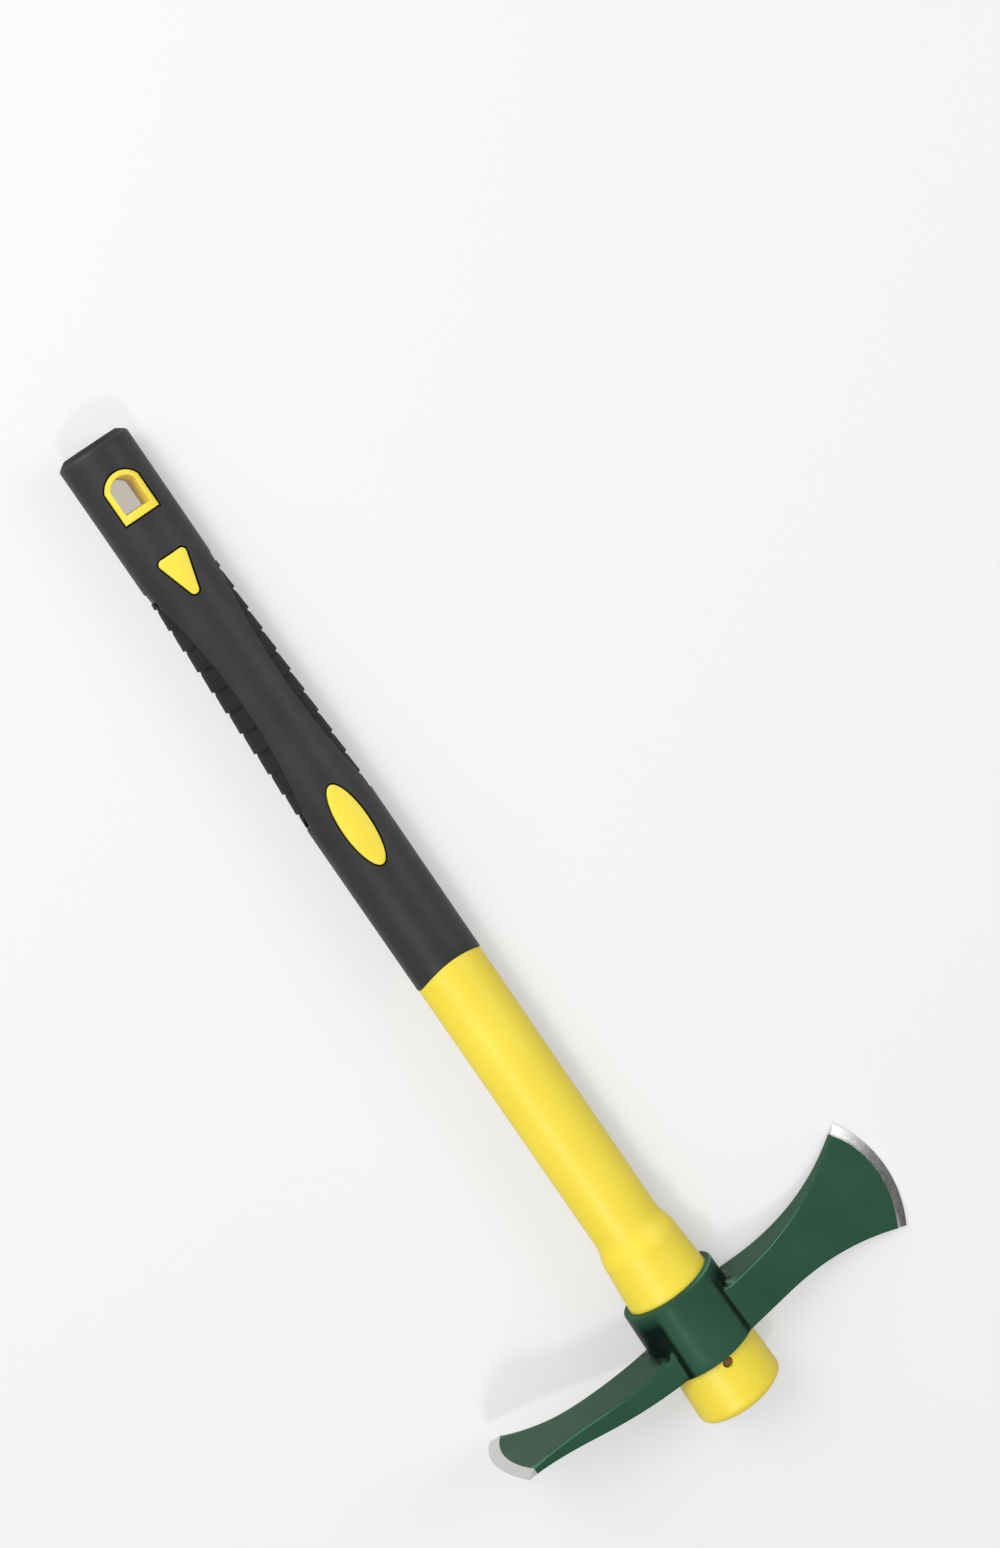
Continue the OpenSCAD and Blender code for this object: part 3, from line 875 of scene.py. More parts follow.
@dataclass
class Handle:
    """Moulded jacket with its fibre core and the pin across the stub."""

    # Lengths along the handle, with the section's width at each turn.
    length: float = 502.0
    stub_l: float = 27.5
    collar_h: float = 36.0
    flare_l: float = 35.0
    shoulder_l: float = 20.5
    shoulder_w: float = 37.4
    flare_hollow_share: float = 0.5
    eye_top_w: float = 40.2
    eye_bottom_w: float = 41.8
    stub_end_w: float = 43.0
    stub_round: float = 4.5
    shaft_short: float = 1.0
    # The core in its bore, and the pin across the stub.
    core_wall: float = 5.0
    core_l: float = 454.0
    pin_hole_d: float = 5.0
    pin_drop: float = 3.0
    pin_recess: float = 1.2
    pin_ease: float = 0.4

    @property
    def rim_y(self) -> float:
        """Place of the head's top."""
        return self.stub_l + self.collar_h

    @property
    def flare_y(self) -> float:
        """Place where the flare has run out."""
        return self.rim_y + self.flare_l

    @property
    def pin_y(self) -> float:
        """Place of the pin."""
        return self.stub_l - self.pin_drop

    def flare_grow(self, rise: float) -> float:
        """Margin of the flare: a plain taper, then an S of two arcs.

        Args:
            rise: Height above the head.

        Returns:
            The margin.
        """
        top, shoulder = OVAL.grow_of(self.eye_top_w), OVAL.grow_of(self.shoulder_w)
        if rise < self.shoulder_l:
            return top + (shoulder - top) * rise / self.shoulder_l
        length, rise = self.flare_l - self.shoulder_l, rise - self.shoulder_l
        turn = 2 * math.atan2(shoulder, length)
        full_l = length * (1 - self.flare_hollow_share)
        if rise < full_l:
            return shoulder - sag(full_l / math.sin(turn), rise)
        return sag(length * self.flare_hollow_share / math.sin(turn), length - rise)

    def jacket(self, grip: Grip) -> Piece:
        """Model the jacket from the stub's end to the neck inside the grip.

        Args:
            grip: The grip that its neck fits in.

        Returns:
            The jacket.
        """
        stub, bottom = OVAL.grow_of(self.stub_end_w), OVAL.grow_of(self.eye_bottom_w)
        bore = GAP - self.core_wall
        profile = [(self.core_l + GAP, bore), (0, bore)]
        profile += rounded(0, stub, self.stub_round, STEPS.stub_round)
        for y in spread(self.stub_round, self.stub_l, STEPS.stub)[1:]:
            share = (y - self.stub_round) / (self.stub_l - self.stub_round)
            profile.append((y, stub + (bottom - stub) * share))
        rises = spread(0, self.shoulder_l, STEPS.shoulder)[:-1]
        rises += spread(self.shoulder_l, self.flare_l, STEPS.flare)
        profile += [(self.rim_y + rise, self.flare_grow(rise)) for rise in rises]
        shaft_end = grip.edge_y(OVAL.width / 2) - self.shaft_short
        profile += [(y, 0) for y in spread(self.flare_y, shaft_end, STEPS.shaft)[1:]]
        profile += [(grip.edge_y, 0), (grip.edge_y, grip.neck_grow)]
        profile.append((self.length - grip.butt_wall, grip.neck_grow))
        jacket = add_loft("handle_jacket_skin", oval_rings(profile))
        combine(jacket, [self.pin_hole(), grip.eyelet_hole()], Change.CUT)
        return smooth(jacket)

    def cross_bar(self, radius: float, length: float) -> Piece:
        """Add a round bar across the stub, at the pin's place.

        Args:
            radius: Its radius.
            length: Its length.

        Returns:
            The bar.
        """
        bpy.ops.object.select_all(action="DESELECT")
        bpy.ops.mesh.primitive_cylinder_add(
            vertices=STEPS.pin, radius=radius, depth=length, location=(0, self.pin_y, 0)
        )
        return bpy.context.object

    def pin_hole(self) -> Piece:
        """Cutter for the cross hole."""
        return self.cross_bar(self.pin_hole_d / 2, 2 * self.length)

    def core(self) -> Piece:
        """Model the fibre core.

        Returns:
            The core.
        """
        core = add_loft("fibre_core_bar", oval_rings([(y, -self.core_wall) for y in (0, self.core_l)]))
        combine(core, [self.pin_hole()], Change.CUT)
        return smooth(core)

    def pin(self) -> Piece:
        """Model the retaining pin, with its ends eased.

        Returns:
            The pin.
        """
        length = OVAL.depth + 2 * OVAL.grow_of(self.eye_bottom_w) - 2 * self.pin_recess
        pin = self.cross_bar(self.pin_hole_d / 2 - GAP, length)
        pin.name = "retaining_pin_bar"
        bpy.ops.object.transform_apply(location=True)
        ease = pin.modifiers.new("Ease", "BEVEL")
        ease.width = self.pin_ease
        ease.segments = STEPS.pin_ease
        bpy.ops.object.modifier_apply(modifier=ease.name)
        return smooth(pin)

    def build(self, shop: Shop, grip: Grip) -> None:
        """Model, dress and hand over the handle's pieces.

        Args:
            shop: Where they are dressed.
            grip: The grip on the handle.
        """
        shop.hand_over(self.jacket(grip), "handle_jacket", [YellowPlastic])
        shop.hand_over(self.core(), "fibre_core", [FibreEnd])
        shop.hand_over(self.pin(), "retaining_pin", [PinSteel])


@dataclass
class Grip:
    """Soft sleeve with side treads, colour inlays and a lined hanging hole."""

    handle_l: float
    # The sleeve, its rounded butt and its arched lower edge.
    length: float = 265.0
    width: float = 33.0
    wall: float = 2.9
    butt_wall: float = 6.0
    butt_in: float = 3.9
    butt_l: float = 2.6
    arch: float = 5.0
    lip_r: float = 0.5
    # The groove round each window, near black with painted shade, and the rings of its floor.
    groove_gap: float = 0.75
    groove_deep: float = 1.1
    groove_sizes: tuple[float, ...] = (0.05, 0.3, 0.5, 0.7, 0.85, 1.0)
    # The treads: their field, their blocks and the grooves between them.
    tread_l: float = 119.0
    tread_end: float = 2.0
    tread_from_butt: float = 122.0
    tread_crisp_deg: float = 24.0
    spine_w: float = 20.6
    tread_t: float = 1.9
    tread_tip: float = 0.001
    pitch: float = 10.3
    block_shares: Pair = (0.4, 0.7)
    groove_w: float = 1.4
    groove_t: float = 1.0
    rise: float = 0.6
    # The eyelet and the inlays, which stand a little proud of the sleeve.
    eyelet_from_butt: float = 35.0
    eyelet_w: float = 16.2
    eyelet_l: float = 20.3
    eyelet_arch_r: float = 8.8
    eyelet_wall: float = 2.3
    eyelet_sill: float = 3.4
    triangle_from_butt: float = 54.0
    triangle_w: float = 13.2
    triangle_l: float = 19.0
    triangle_r: float = 2.0
    oval_from_butt: float = 189.0
    oval_l: float = 40.0
    oval_w: float = 12.6
    inlay_proud: float = 0.12
    inlay_round: float = 0.35
    inlay_sizes: tuple[float, ...] = (0.05, 0.2, 0.4, 0.6, 0.8)

    @property
    def grow(self) -> float:
        """Margin of the sleeve's skin."""
        return OVAL.grow_of(self.width)

    @property
    def neck_grow(self) -> float:
        """Margin of the jacket's neck inside the sleeve."""
        return self.grow - self.wall

    @property
    def tread_y(self) -> float:
        """Middle of the treads."""
        return self.handle_l - self.tread_from_butt

    @property
    def eyelet_y(self) -> float:
        """Lower edge of the eyelet's sill."""
        return self.handle_l - self.eyelet_from_butt

    @property
    def windows(self) -> Sequence[Callable[[float], Outline]]:
        """The outlines that are cut through the sleeve, as functions of their margin."""
        return self.eyelet_outer, self.triangle_outline, self.ellipse_outline

    def edge_y(self, x: float) -> float:
        """Place of the sleeve's arched lower edge.

        Args:
            x: Place across the handle.

        Returns:
            Place along the handle.
        """
        half = self.width / 2
        top = self.handle_l - self.length + self.arch
        return top - sag(arc_radius(half, self.arch), min(abs(x), half))

    def raised(self, lift: float) -> Curve:
        """The sleeve's lower edge, raised by a little."""
        return lambda x: self.edge_y(x) + GAP + lift

    def tread_edge(self, y: float) -> float:
        """Half width of the smooth front beside the treads."""
        radius = arc_radius(self.tread_l / 2, (self.width - self.spine_w) / 2)
        return self.spine_w / 2 + radius - math.sqrt(radius**2 - (y - self.tread_y) ** 2)

    def sleeve(self) -> Piece:
        """Model the sleeve with its windows and tread pockets.

        Returns:
            The sleeve.
        """
        inner = self.neck_grow + GAP
        straight_y = self.handle_l - self.length + 2 * self.arch
        chamfer_y = self.handle_l - self.butt_l
        profile = [(self.handle_l - self.butt_wall + GAP, inner), (straight_y, inner)]
        profile.append((self.raised(0), inner))
        lip = rounded(0, self.grow, self.lip_r, STEPS.ease)
        profile += [(self.raised(lift), grow) for lift, grow in lip]
        shaft = spread(straight_y, chamfer_y - 2 * self.butt_l, STEPS.sleeve)
        profile += [(y, self.grow) for y in shaft]
        profile += eased([
            (chamfer_y - self.butt_l, self.grow, 0),
            (chamfer_y, self.grow, self.butt_l / 3),
            (self.handle_l, self.grow - self.butt_in, self.butt_l / 4),
            (self.handle_l, self.grow - 2 * self.butt_in, 0),
        ])
        sleeve = add_loft("grip_sleeve_skin", oval_rings(profile))
        cutters = []
        for window in self.windows:
            cutters.append(prism("window", window(GAP), self.width))
            cutters += [self.groove(window(self.groove_gap), face) for face in Face]
        pocket = self.pocket_skin()
        cutters += [self.tread_patch("pocket", side, self.grow - self.tread_t, pocket, 0) for side in Side]
        combine(sleeve, cutters, Change.CUT)
        return smooth(sleeve)

    def painted_shade_marks(self, sleeve: Piece) -> list[type]:
        """Choose each face's rubber: black and rough at the butt, where the black is painted shade, and near
        black in the grooves round the windows as painted shade.

        Args:
            sleeve: The sleeve, in working millimetres.

        Returns:
            The finish of each face.
        """
        spans = []
        for window in self.windows:
            heights = [y for _, y in window(self.groove_gap)]
            spans.append((min(heights), max(heights)))
        marks = []
        for face in sleeve.data.polygons:
            x, y, z = face.center
            beside = abs(x) < self.spine_w / 2 and any(low <= y <= high for low, high in spans)
            deep = OVAL.front_z(x, self.grow) - abs(z) if beside else 0.0
            # Painted shade: the groove round each window gets near-black rubber.
            if self.groove_deep / 4 < deep < 2 * self.groove_deep:
                marks.append(PaintedGrooveShade)
            # Painted shade: the butt's end faces get the black tread rubber.
            elif y > self.handle_l - self.butt_l + self.lip_r:
                marks.append(TreadRubberAndPaintedButtShade)
            else:
                marks.append(GripRubber)
        return marks

    def groove(self, outline: Outline, face: Face) -> Piece:
        """Cutter for the shallow dark groove round a window.

        Args:
            outline: The groove's outer border in front view.
            face: The face that it is cut in.

        Returns:
            The closed cutter, whose floor follows the sleeve's skin.
        """
        floor = self.grow - self.groove_deep
        rings = []
        for size in self.groove_sizes:
            rings.append([(x, y, OVAL.front_z(x, floor)) for x, y in drawn_in(outline, size)])
        rings.append([(x, y, self.width) for x, y in outline])
        return add_loft("groove", [[(x, y, face.value * z) for x, y, z in ring] for ring in rings])

    def pocket_skin(self) -> Profile:
        """Stations of the cutter for a tread pocket, which reaches past the sleeve.

        Returns:
            Places along the handle with the cutter's margin.
        """
        half = self.tread_l / 2 - GAP
        places = spread(self.tread_y - half, self.tread_y + half, STEPS.pocket)
        return [(y, self.grow + self.wall) for y in places]

    def tread_skin(self) -> Profile:
        """Stations of a tread: blocks that rise towards the head, with square ends and grooves.

        Returns:
            Places along the handle with the tread's margin.
        """
        half = self.tread_l / 2 - self.tread_end
        count = int(half // self.pitch)
        low, floor = self.grow - self.rise, self.grow - self.groove_t
        ease = self.groove_w / 6
        stations = [(self.tread_y - half, low + self.rise / 2)]
        for i in range(-count, count + 1):
            y = self.tread_y + i * self.pitch - self.groove_w / 2
            end = y + self.groove_w
            stations += [(y - 3 * ease, low), (y - ease, low - self.rise / 4)]
            stations += [(y, floor + ease), (y + ease, floor), (end - ease / 2, floor)]
            stations += [(end, self.grow - ease), (end + ease, self.grow)]
            stations += [(y + self.pitch * t, self.grow - self.rise * t) for t in self.block_shares]
        return [station for station in stations if abs(station[0] - self.tread_y) <= half]

    def tread_patch(self, name: str, side: Side, inner: float, stations: Profile, inset: float) -> Piece:
        """Model a skin that wraps one narrow side between the arcs of the smooth front.

        Args:
            name: Name of the new piece.
            side: The narrow side.
            inner: Margin of the skin's inner face.
            stations: Places along the handle with the outer face's margin there.
            inset: How far the skin stays inside its field.

        Returns:
            The closed patch.
        """
        rings = []
        for y, outer in stations:
            edge = self.tread_edge(y) + inset
            first = OVAL.turn_at(min(edge, self.width / 2 - inset), outer)
            last = OVAL.turn_at(min(edge, OVAL.width / 2 + inner - self.tread_tip), inner)
            section = [OVAL.at(turn, outer) for turn in spread(first, -first, STEPS.tread)]
            section += [OVAL.at(turn, inner) for turn in spread(-last, last, STEPS.tread)]
            rings.append([(side.value * x, y, z) for x, z in section])
        return add_loft(name, rings)

    def tread(self, side: Side) -> Piece:
        """Model one tread.

        Args:
            side: The narrow side that it is on.

        Returns:
            The tread.
        """
        inner = self.grow - self.tread_t + GAP
        name = f"{side.name.lower()}_side_tread_skin"
        return smooth(self.tread_patch(name, side, inner, self.tread_skin(), GAP), self.tread_crisp_deg)

    @staticmethod
    def eyelet_outline(width: float, low: float, high: float, arch: float) -> Outline:
        """Front view of a D with its arch towards the butt.

        Args:
            width: Its width.
            low: Place of its sill.
            high: Place of its arch's top.
            arch: Radius of its arch.

        Returns:
            Its points, from the sill's right corner.
        """
        half = width / 2
        middle = high - arch
        lean = math.acos(min(1.0, half / arch))
        shoulder = middle + arch * math.sin(lean)
        turns = spread(lean, math.pi - lean, STEPS.eyelet_arch)
        points = [(half, y) for y in spread(low, shoulder, STEPS.eyelet_side)[:-1]]
        points += [(arch * math.cos(t), middle + arch * math.sin(t)) for t in turns]
        points += [(-half, y) for y in spread(shoulder, low, STEPS.eyelet_side)[1:]]
        points += [(x, low) for x in spread(-half, half, STEPS.eyelet_sill)[1:-1]]
        return points

    def eyelet_outer(self, gap: float) -> Outline:
        """The eyelet's outer outline, with a margin."""
        low, high = self.eyelet_y - gap, self.eyelet_y + self.eyelet_l + gap
        return self.eyelet_outline(self.eyelet_w + 2 * gap, low, high, self.eyelet_arch_r + gap)

    def eyelet_hole(self) -> Piece:
        """Cutter with the eyelet's outer outline."""
        return prism("eyelet_hole", self.eyelet_outer(GAP), self.width)

    def lip_profile(self, reach: float) -> list[Pair]:
        """Section of a lip, with both edges eased.

        Args:
            reach: Width of the lip.

        Returns:
            Shares across the lip, each with the drop below its face there.
        """
        ease = self.inlay_round
        outer = [(ease * (1 - c) / reach, ease * (1 - s)) for s, c in quarter(STEPS.ease)]
        return [*outer, (0.5, 0.0), *[(1 - share, drop) for share, drop in reversed(outer)]]

    def eyelet(self) -> Piece:
        """Model the eyelet: a D-shaped lining with eased lips, flush with both faces.

        Returns:
            The eyelet.
        """
        wall = self.eyelet_wall
        low, high = self.eyelet_y + self.eyelet_sill, self.eyelet_y + self.eyelet_l - wall
        inner = self.eyelet_outline(self.eyelet_w - 2 * wall, low, high, self.eyelet_arch_r - wall)
        rings = []
        for (ox, oy), (ix, iy) in zip(self.eyelet_outer(0), inner):
            lip = []
            for share, drop in self.lip_profile(math.hypot(ix - ox, iy - oy)):
                x, y = ox + (ix - ox) * share, oy + (iy - oy) * share
                lip.append((x, y, OVAL.front_z(x, self.grow) + self.inlay_proud - drop))
            rings.append(lip + mirrored(reversed(lip)))
        return smooth(add_loft("hanging_eyelet_lining", rings, looped=True))

    def triangle_outline(self, gap: float) -> Outline:
        """Front view of the rounded triangle, with its point towards the head.

        Args:
            gap: Margin of the outline.

        Returns:
            Its points.
        """
        wide_y = self.handle_l - self.triangle_from_butt
        tip = Vector((0, wide_y - self.triangle_l + self.triangle_r))
        corner = Vector((self.triangle_w / 2 - self.triangle_r, wide_y - self.triangle_r))
        lean = math.atan2(corner.x, corner.y - tip.y)
        reach = self.triangle_r + gap
        arcs = [
            (tip, -math.pi + lean, -lean),
            (corner, -lean, math.pi / 2),
            (Vector((-corner.x, corner.y)), math.pi / 2, math.pi + lean),
        ]
        return [
            (middle.x + reach * math.cos(t), middle.y + reach * math.sin(t))
            for middle, first, last in arcs
            for t in spread(first, last, STEPS.triangle_corner)
        ]

    def ellipse_outline(self, gap: float) -> Outline:
        """Front view of the oval inlay.

        Args:
            gap: Margin of the outline.

        Returns:
            Its points.
        """
        middle = self.handle_l - self.oval_from_butt
        half_w, half_l = self.oval_w / 2 + gap, self.oval_l / 2 + gap
        turns = [2 * math.pi * i / STEPS.oval_inlay for i in range(STEPS.oval_inlay)]
        return [(half_w * math.cos(t), middle + half_l * math.sin(t)) for t in turns]

    def inlay(self, name: str, outline: Outline, face: Face) -> Piece:
        """Model an inlay that seats on the jacket, with an eased rim and a faint crown.

        Args:
            name: Name of the new piece.
            outline: Its outline in front view.
            face: The face that it is set in.

        Returns:
            The inlay.
        """
        middle = centre_of(outline)
        half = min((Vector(p) - middle).length for p in outline)
        ease = self.inlay_round
        top = [(1 - ease * (1 - c) / half, ease * (1 - s)) for s, c in quarter(STEPS.ease)]
        top += [(size, 0.0) for size in reversed(self.inlay_sizes)]
        layers = [(size, self.neck_grow + GAP, 0.0) for size in (*self.inlay_sizes, 1.0)]
        layers += [(size, self.grow, self.inlay_proud * (2 - size) - drop) for size, drop in top]
        rings = []
        for size, grow, rise in layers:
            spots = drawn_in(outline, size)
            rings.append([(x, y, face.value * (OVAL.front_z(x, grow) + rise)) for x, y in spots])
        return smooth(add_loft(name, rings))

    def build(self, shop: Shop) -> None:
        """Model, dress and hand over the grip's pieces.

        Args:
            shop: Where they are dressed.
        """
        sleeve = self.sleeve()
        marks = self.painted_shade_marks(sleeve)
        rubbers = [GripRubber, TreadRubberAndPaintedButtShade, PaintedGrooveShade]
        shop.hand_over(sleeve, "grip_sleeve", rubbers, marks)
        for side in Side:
            node = f"{side.name.lower()}_side_tread"
            shop.hand_over(self.tread(side), node, [TreadRubberAndPaintedButtShade])
        shop.hand_over(self.eyelet(), "hanging_eyelet", [YellowPlastic])
        outlines = {"oval": self.ellipse_outline(0), "triangle": self.triangle_outline(0)}
        for face in Face:
            for kind, outline in outlines.items():
                node = f"{face.name.lower()}_{kind}_inlay"
                inlay = self.inlay(node + "_plate", outline, face)
                shop.hand_over(inlay, node, [YellowPlastic])


@dataclass(frozen=True)
class RootBlend:
    """Hollow fillet between a blade's side and the collar, seen along the handle."""

    half_t: float
    slope: float
    collar_r: float
    radius: float

    @property
    def middle(self) -> Pair:
        """Centre of the fillet's arc.

        Returns:
            Its distance from the handle's axis, and its depth.
        """
        lean = math.atan(self.slope)
        along = Vector((math.cos(lean), -math.sin(lean)))
        normal = Vector((math.sin(lean), math.cos(lean)))
        start = Vector((0, self.half_t)) + self.radius * normal
        away = start - Vector((OVAL.edge_x, 0))
        step = away.dot(along)
        reach = self.collar_r + self.radius
        place = start + along * (math.sqrt(step**2 - away.length_squared + reach**2) - step)
        return place.x, place.y

    @property
    def touch(self) -> Pair:
        """Where the fillet meets the collar.

        Returns:
            The distance from the handle's axis, and the depth.
        """
        x, z = self.middle
        share = self.collar_r / (self.collar_r + self.radius)
        return OVAL.edge_x + (x - OVAL.edge_x) * share, z * share

    def half(self, reach: float) -> float:
        """Half thickness of the blade.

        Args:
            reach: Distance from the handle's axis.

        Returns:
            Half the thickness there.
        """
        x, z = self.middle
        foot = x - self.radius * math.sin(math.atan(self.slope))
        if reach >= foot:
            return self.half_t - reach * self.slope
        if reach <= self.touch[0]:
            return self.touch[1]
        return z - math.sqrt(self.radius**2 - (x - reach) ** 2)


@dataclass
class Head:
    """One forging: a collar round the eye, an axe blade and a hoe blade."""

    handle: Handle
    wall_top: float = 3.2
    wall_bottom: float = 3.2
    rim_r: float = 0.9
    # The fillets at both roots, and how far before one a ring lies.
    root_fillet_r: float = 8.0
    top_fillet_r: float = 3.0
    root_lead: float = 1.0
    # Thickness left at a ground edge, and radius of the other edges.
    land: float = 0.35
    edge_round: float = 0.55
    # A painted highlight lies on raised edges that turn by more than this angle, up to this reach on the
    # axe.
    highlight_turn: float = 0.28
    highlight_end: float = 78.0
    # Painted shade lies where the normal leans sideways by more than this, on the collar and in a fillet.
    corner_turn: Pair = (0.52, 0.3)
    corner_fade: float = 0.12
    corner_end: float = 25.5
    # The axe: its edge, its outlines, its thickness and its ground bevel.
    axe_reach: float = 113.0
    axe_edge_r: float = 58.8
    axe_edge_mid: float = 12.9
    axe_edge_up: float = 32.5
    axe_edge_down: float = 27.9
    axe_root_h: float = 21.8
    axe_upper_start: float = 34.0
    axe_lower_start: float = 42.0
    axe_root_t: float = 24.0
    axe_thin_x: float = 80.0
    axe_thin_t: float = 5.2
    axe_cheek_r: float = 380.0
    axe_bevel_t: float = 3.0
    axe_bevel_w: float = 4.8
    axe_ease_share: float = 0.45
    # The hoe: its edge, its neck, its two faces, its ground bevel and its eased sides.
    hoe_reach: float = 106.3
    hoe_edge_w: float = 57.0
    hoe_edge_r: float = 67.0
    hoe_neck_w: float = 26.4
    hoe_neck_end: float = 62.0
    hoe_neck_h: float = 12.4
    hoe_upper_r: float = 237.0
    hoe_upper_low: float = 37.0
    hoe_lower_r: float = 231.0
    hoe_lower_low: float = 9.0
    hoe_bevel_w: float = 5.5
    hoe_root_round: float = 1.8
    hoe_round_fade: float = 1.6
    hoe_ease_share: float = 0.42

    @property
    def base_y(self) -> float:
        """Underside of the collar."""
        return self.handle.stub_l

    @property
    def rim_grow(self) -> float:
        """Margin of the collar at its top."""
        return OVAL.grow_of(self.handle.eye_top_w) + self.wall_top

    @property
    def base_grow(self) -> float:
        """Margin of the collar at its underside."""
        return OVAL.grow_of(self.handle.eye_bottom_w) + self.wall_bottom

    @property
    def collar_r(self) -> float:
        """Radius of the collar's narrow sides."""
        return OVAL.edge_r + self.rim_grow

    @property
    def axe_middle(self) -> Vector:
        """Centre of the axe edge's arc."""
        return Vector((self.axe_reach - self.axe_edge_r, self.base_y + self.axe_edge_mid))

    @property
    def hoe_middle(self) -> float:
        """Reach of the centre of the hoe edge's arc."""
        return self.hoe_reach - self.hoe_edge_r

    def collar(self) -> Piece:
        """Model the collar, still solid, with rounded rims.

        Returns:
            The collar, which the blades are joined to.
        """
        profile = rounded(self.base_y, self.base_grow, self.rim_r, STEPS.rim_round)
        for share in spread(0, 1, STEPS.collar)[1:-1]:
            y = self.base_y + self.rim_r + (self.handle.collar_h - 2 * self.rim_r) * share
            profile.append((y, self.base_grow + (self.rim_grow - self.base_grow) * share))
        for sine, cosine in quarter(STEPS.rim_round):
            y = self.handle.rim_y - self.rim_r * (1 - sine)
            profile.append((y, self.rim_grow - self.rim_r * (1 - cosine)))
        return add_loft("mattock_head_forging", oval_rings(profile))

    def eye(self) -> Piece:
        """Cutter for the tapered eye, which reaches past the collar.

        Returns:
            The closed cutter.
        """
        bottom = OVAL.grow_of(self.handle.eye_bottom_w) + GAP
        top = OVAL.grow_of(self.handle.eye_top_w) + GAP
        taper = bottom - top
        low, high = self.base_y - self.handle.collar_h, self.handle.rim_y + self.handle.collar_h
        return add_loft("eye", oval_rings([(low, bottom + taper), (high, top - taper)]))

    def lift(self, reach: float, depth: float) -> float:
        """Height that the hollow fillet on top of a blade's root adds at a place.

        Args:
            reach: Distance from the handle's axis.
            depth: Distance from the tool's middle plane.

        Returns:
            The height.
        """
        away = math.hypot(reach - OVAL.edge_x, depth) - self.collar_r
        if reach < OVAL.edge_x or away <= 0:
            return self.top_fillet_r
        if away >= self.top_fillet_r:
            return 0.0
        return sag(self.top_fillet_r, self.top_fillet_r - away)

    def root_shares(self, start: float, end: float, blend: RootBlend) -> list[float]:
        """Stations from the eye to the ground edge, close together along the root fillet.

        Args:
            start: Reach of the first station.
            end: Reach of the last one.
            blend: The root fillet.

        Returns:
            Shares of the way.
        """
        touch, foot = blend.touch[0], blend.middle[0]
        places = [start, touch - self.root_lead, *spread(touch, foot, STEPS.fillet)]
        places += spread(foot, end, STEPS.cheek)[1:]
        return [(x - start) / (end - start) for x in places]

    def axe_bounds(self) -> tuple[Curve, Curve]:
        """The lower and upper outline of the axe.

        Returns:
            Both heights as functions of the reach.
        """
        edge_y, root_y = self.axe_middle.y, self.base_y + self.axe_root_h
        low = self.axe_outline(self.axe_lower_start, self.base_y, edge_y - self.axe_edge_down, -1)
        high = self.axe_outline(self.axe_upper_start, root_y, edge_y + self.axe_edge_up, 1)
        return low, high

    def axe_outline(self, start: float, from_y: float, to_y: float, sign: int) -> Curve:
        """An outline that leaves a level and curves out to a corner of the edge.

        Args:
            start: Reach where it leaves the level.
            from_y: The level.
            to_y: Height of the corner.
            sign: 1 upwards, -1 downwards.

        Returns:
            Its height as a function of the reach.
        """
        middle = self.axe_middle
        corner_x = middle.x + math.sqrt(self.axe_edge_r**2 - (to_y - middle.y) ** 2)
        radius = arc_radius(corner_x - start, abs(to_y - from_y))
        return lambda x: from_y + sign * sag(radius, max(0.0, x - start))

    def axe_turn(self, bound: Curve, radius: float) -> float:
        """Find where an outline crosses an arc along the edge.

        Args:
            bound: The outline.
            radius: Radius of the arc.

        Returns:
            The angle of the crossing, about the edge's centre.
        """
        middle = self.axe_middle
        x = solve(lambda v: math.hypot(v - middle.x, bound(v) - middle.y) - radius, middle.x, self.axe_reach)
        return math.atan2(bound(x) - middle.y, x - middle.x)

    def axe_arc(self, radius: float) -> list[Vector]:
        """Points of an arc along the edge, between the axe's two outlines.

        Args:
            radius: Radius of the arc.

        Returns:
            The points from the bottom up, as reach and height.
        """
        middle = self.axe_middle
        low, high = (self.axe_turn(bound, radius) for bound in self.axe_bounds())
        turns = spread(low, high, STEPS.blade)
        return [middle + radius * Vector((math.cos(t), math.sin(t))) for t in turns]

    def axe_cheek(self) -> tuple[RootBlend, Curve]:
        """The axe's root fillet and its cheek.

        Returns:
            The fillet, and the half thickness as a function of the reach.
        """
        side_x = OVAL.edge_x + self.collar_r
        slope = (self.axe_root_t - self.axe_thin_t) / 2 / (self.axe_thin_x - side_x)
        bevel_x = self.axe_reach - self.axe_bevel_w
        thin_slope = (self.axe_thin_t - self.axe_bevel_t) / 2 / (bevel_x - self.axe_thin_x)
        blend = RootBlend(self.axe_root_t / 2 + side_x * slope, slope, self.collar_r, self.root_fillet_r)
        lean, thin_lean = math.atan(slope), math.atan(thin_slope)
        run = self.axe_cheek_r * math.tan((lean - thin_lean) / 2)
        start = Vector((self.axe_thin_x - run * math.cos(lean), self.axe_thin_t / 2 + run * math.sin(lean)))
        end_x = self.axe_thin_x + run * math.cos(thin_lean)
        middle = start + self.axe_cheek_r * Vector((math.sin(lean), math.cos(lean)))

        def half(reach: float) -> float:
            """Half thickness: the root and a taper, a hollow arc, then a slender taper.

            Args:
                reach: Distance from the handle's axis.

            Returns:
                Half the thickness there.
            """
            if reach < start.x:
                return blend.half(reach)
            if reach > end_x:
                return self.axe_thin_t / 2 - (reach - self.axe_thin_x) * thin_slope
            return middle.y - math.sqrt(self.axe_cheek_r**2 - (reach - middle.x) ** 2)

        return blend, half

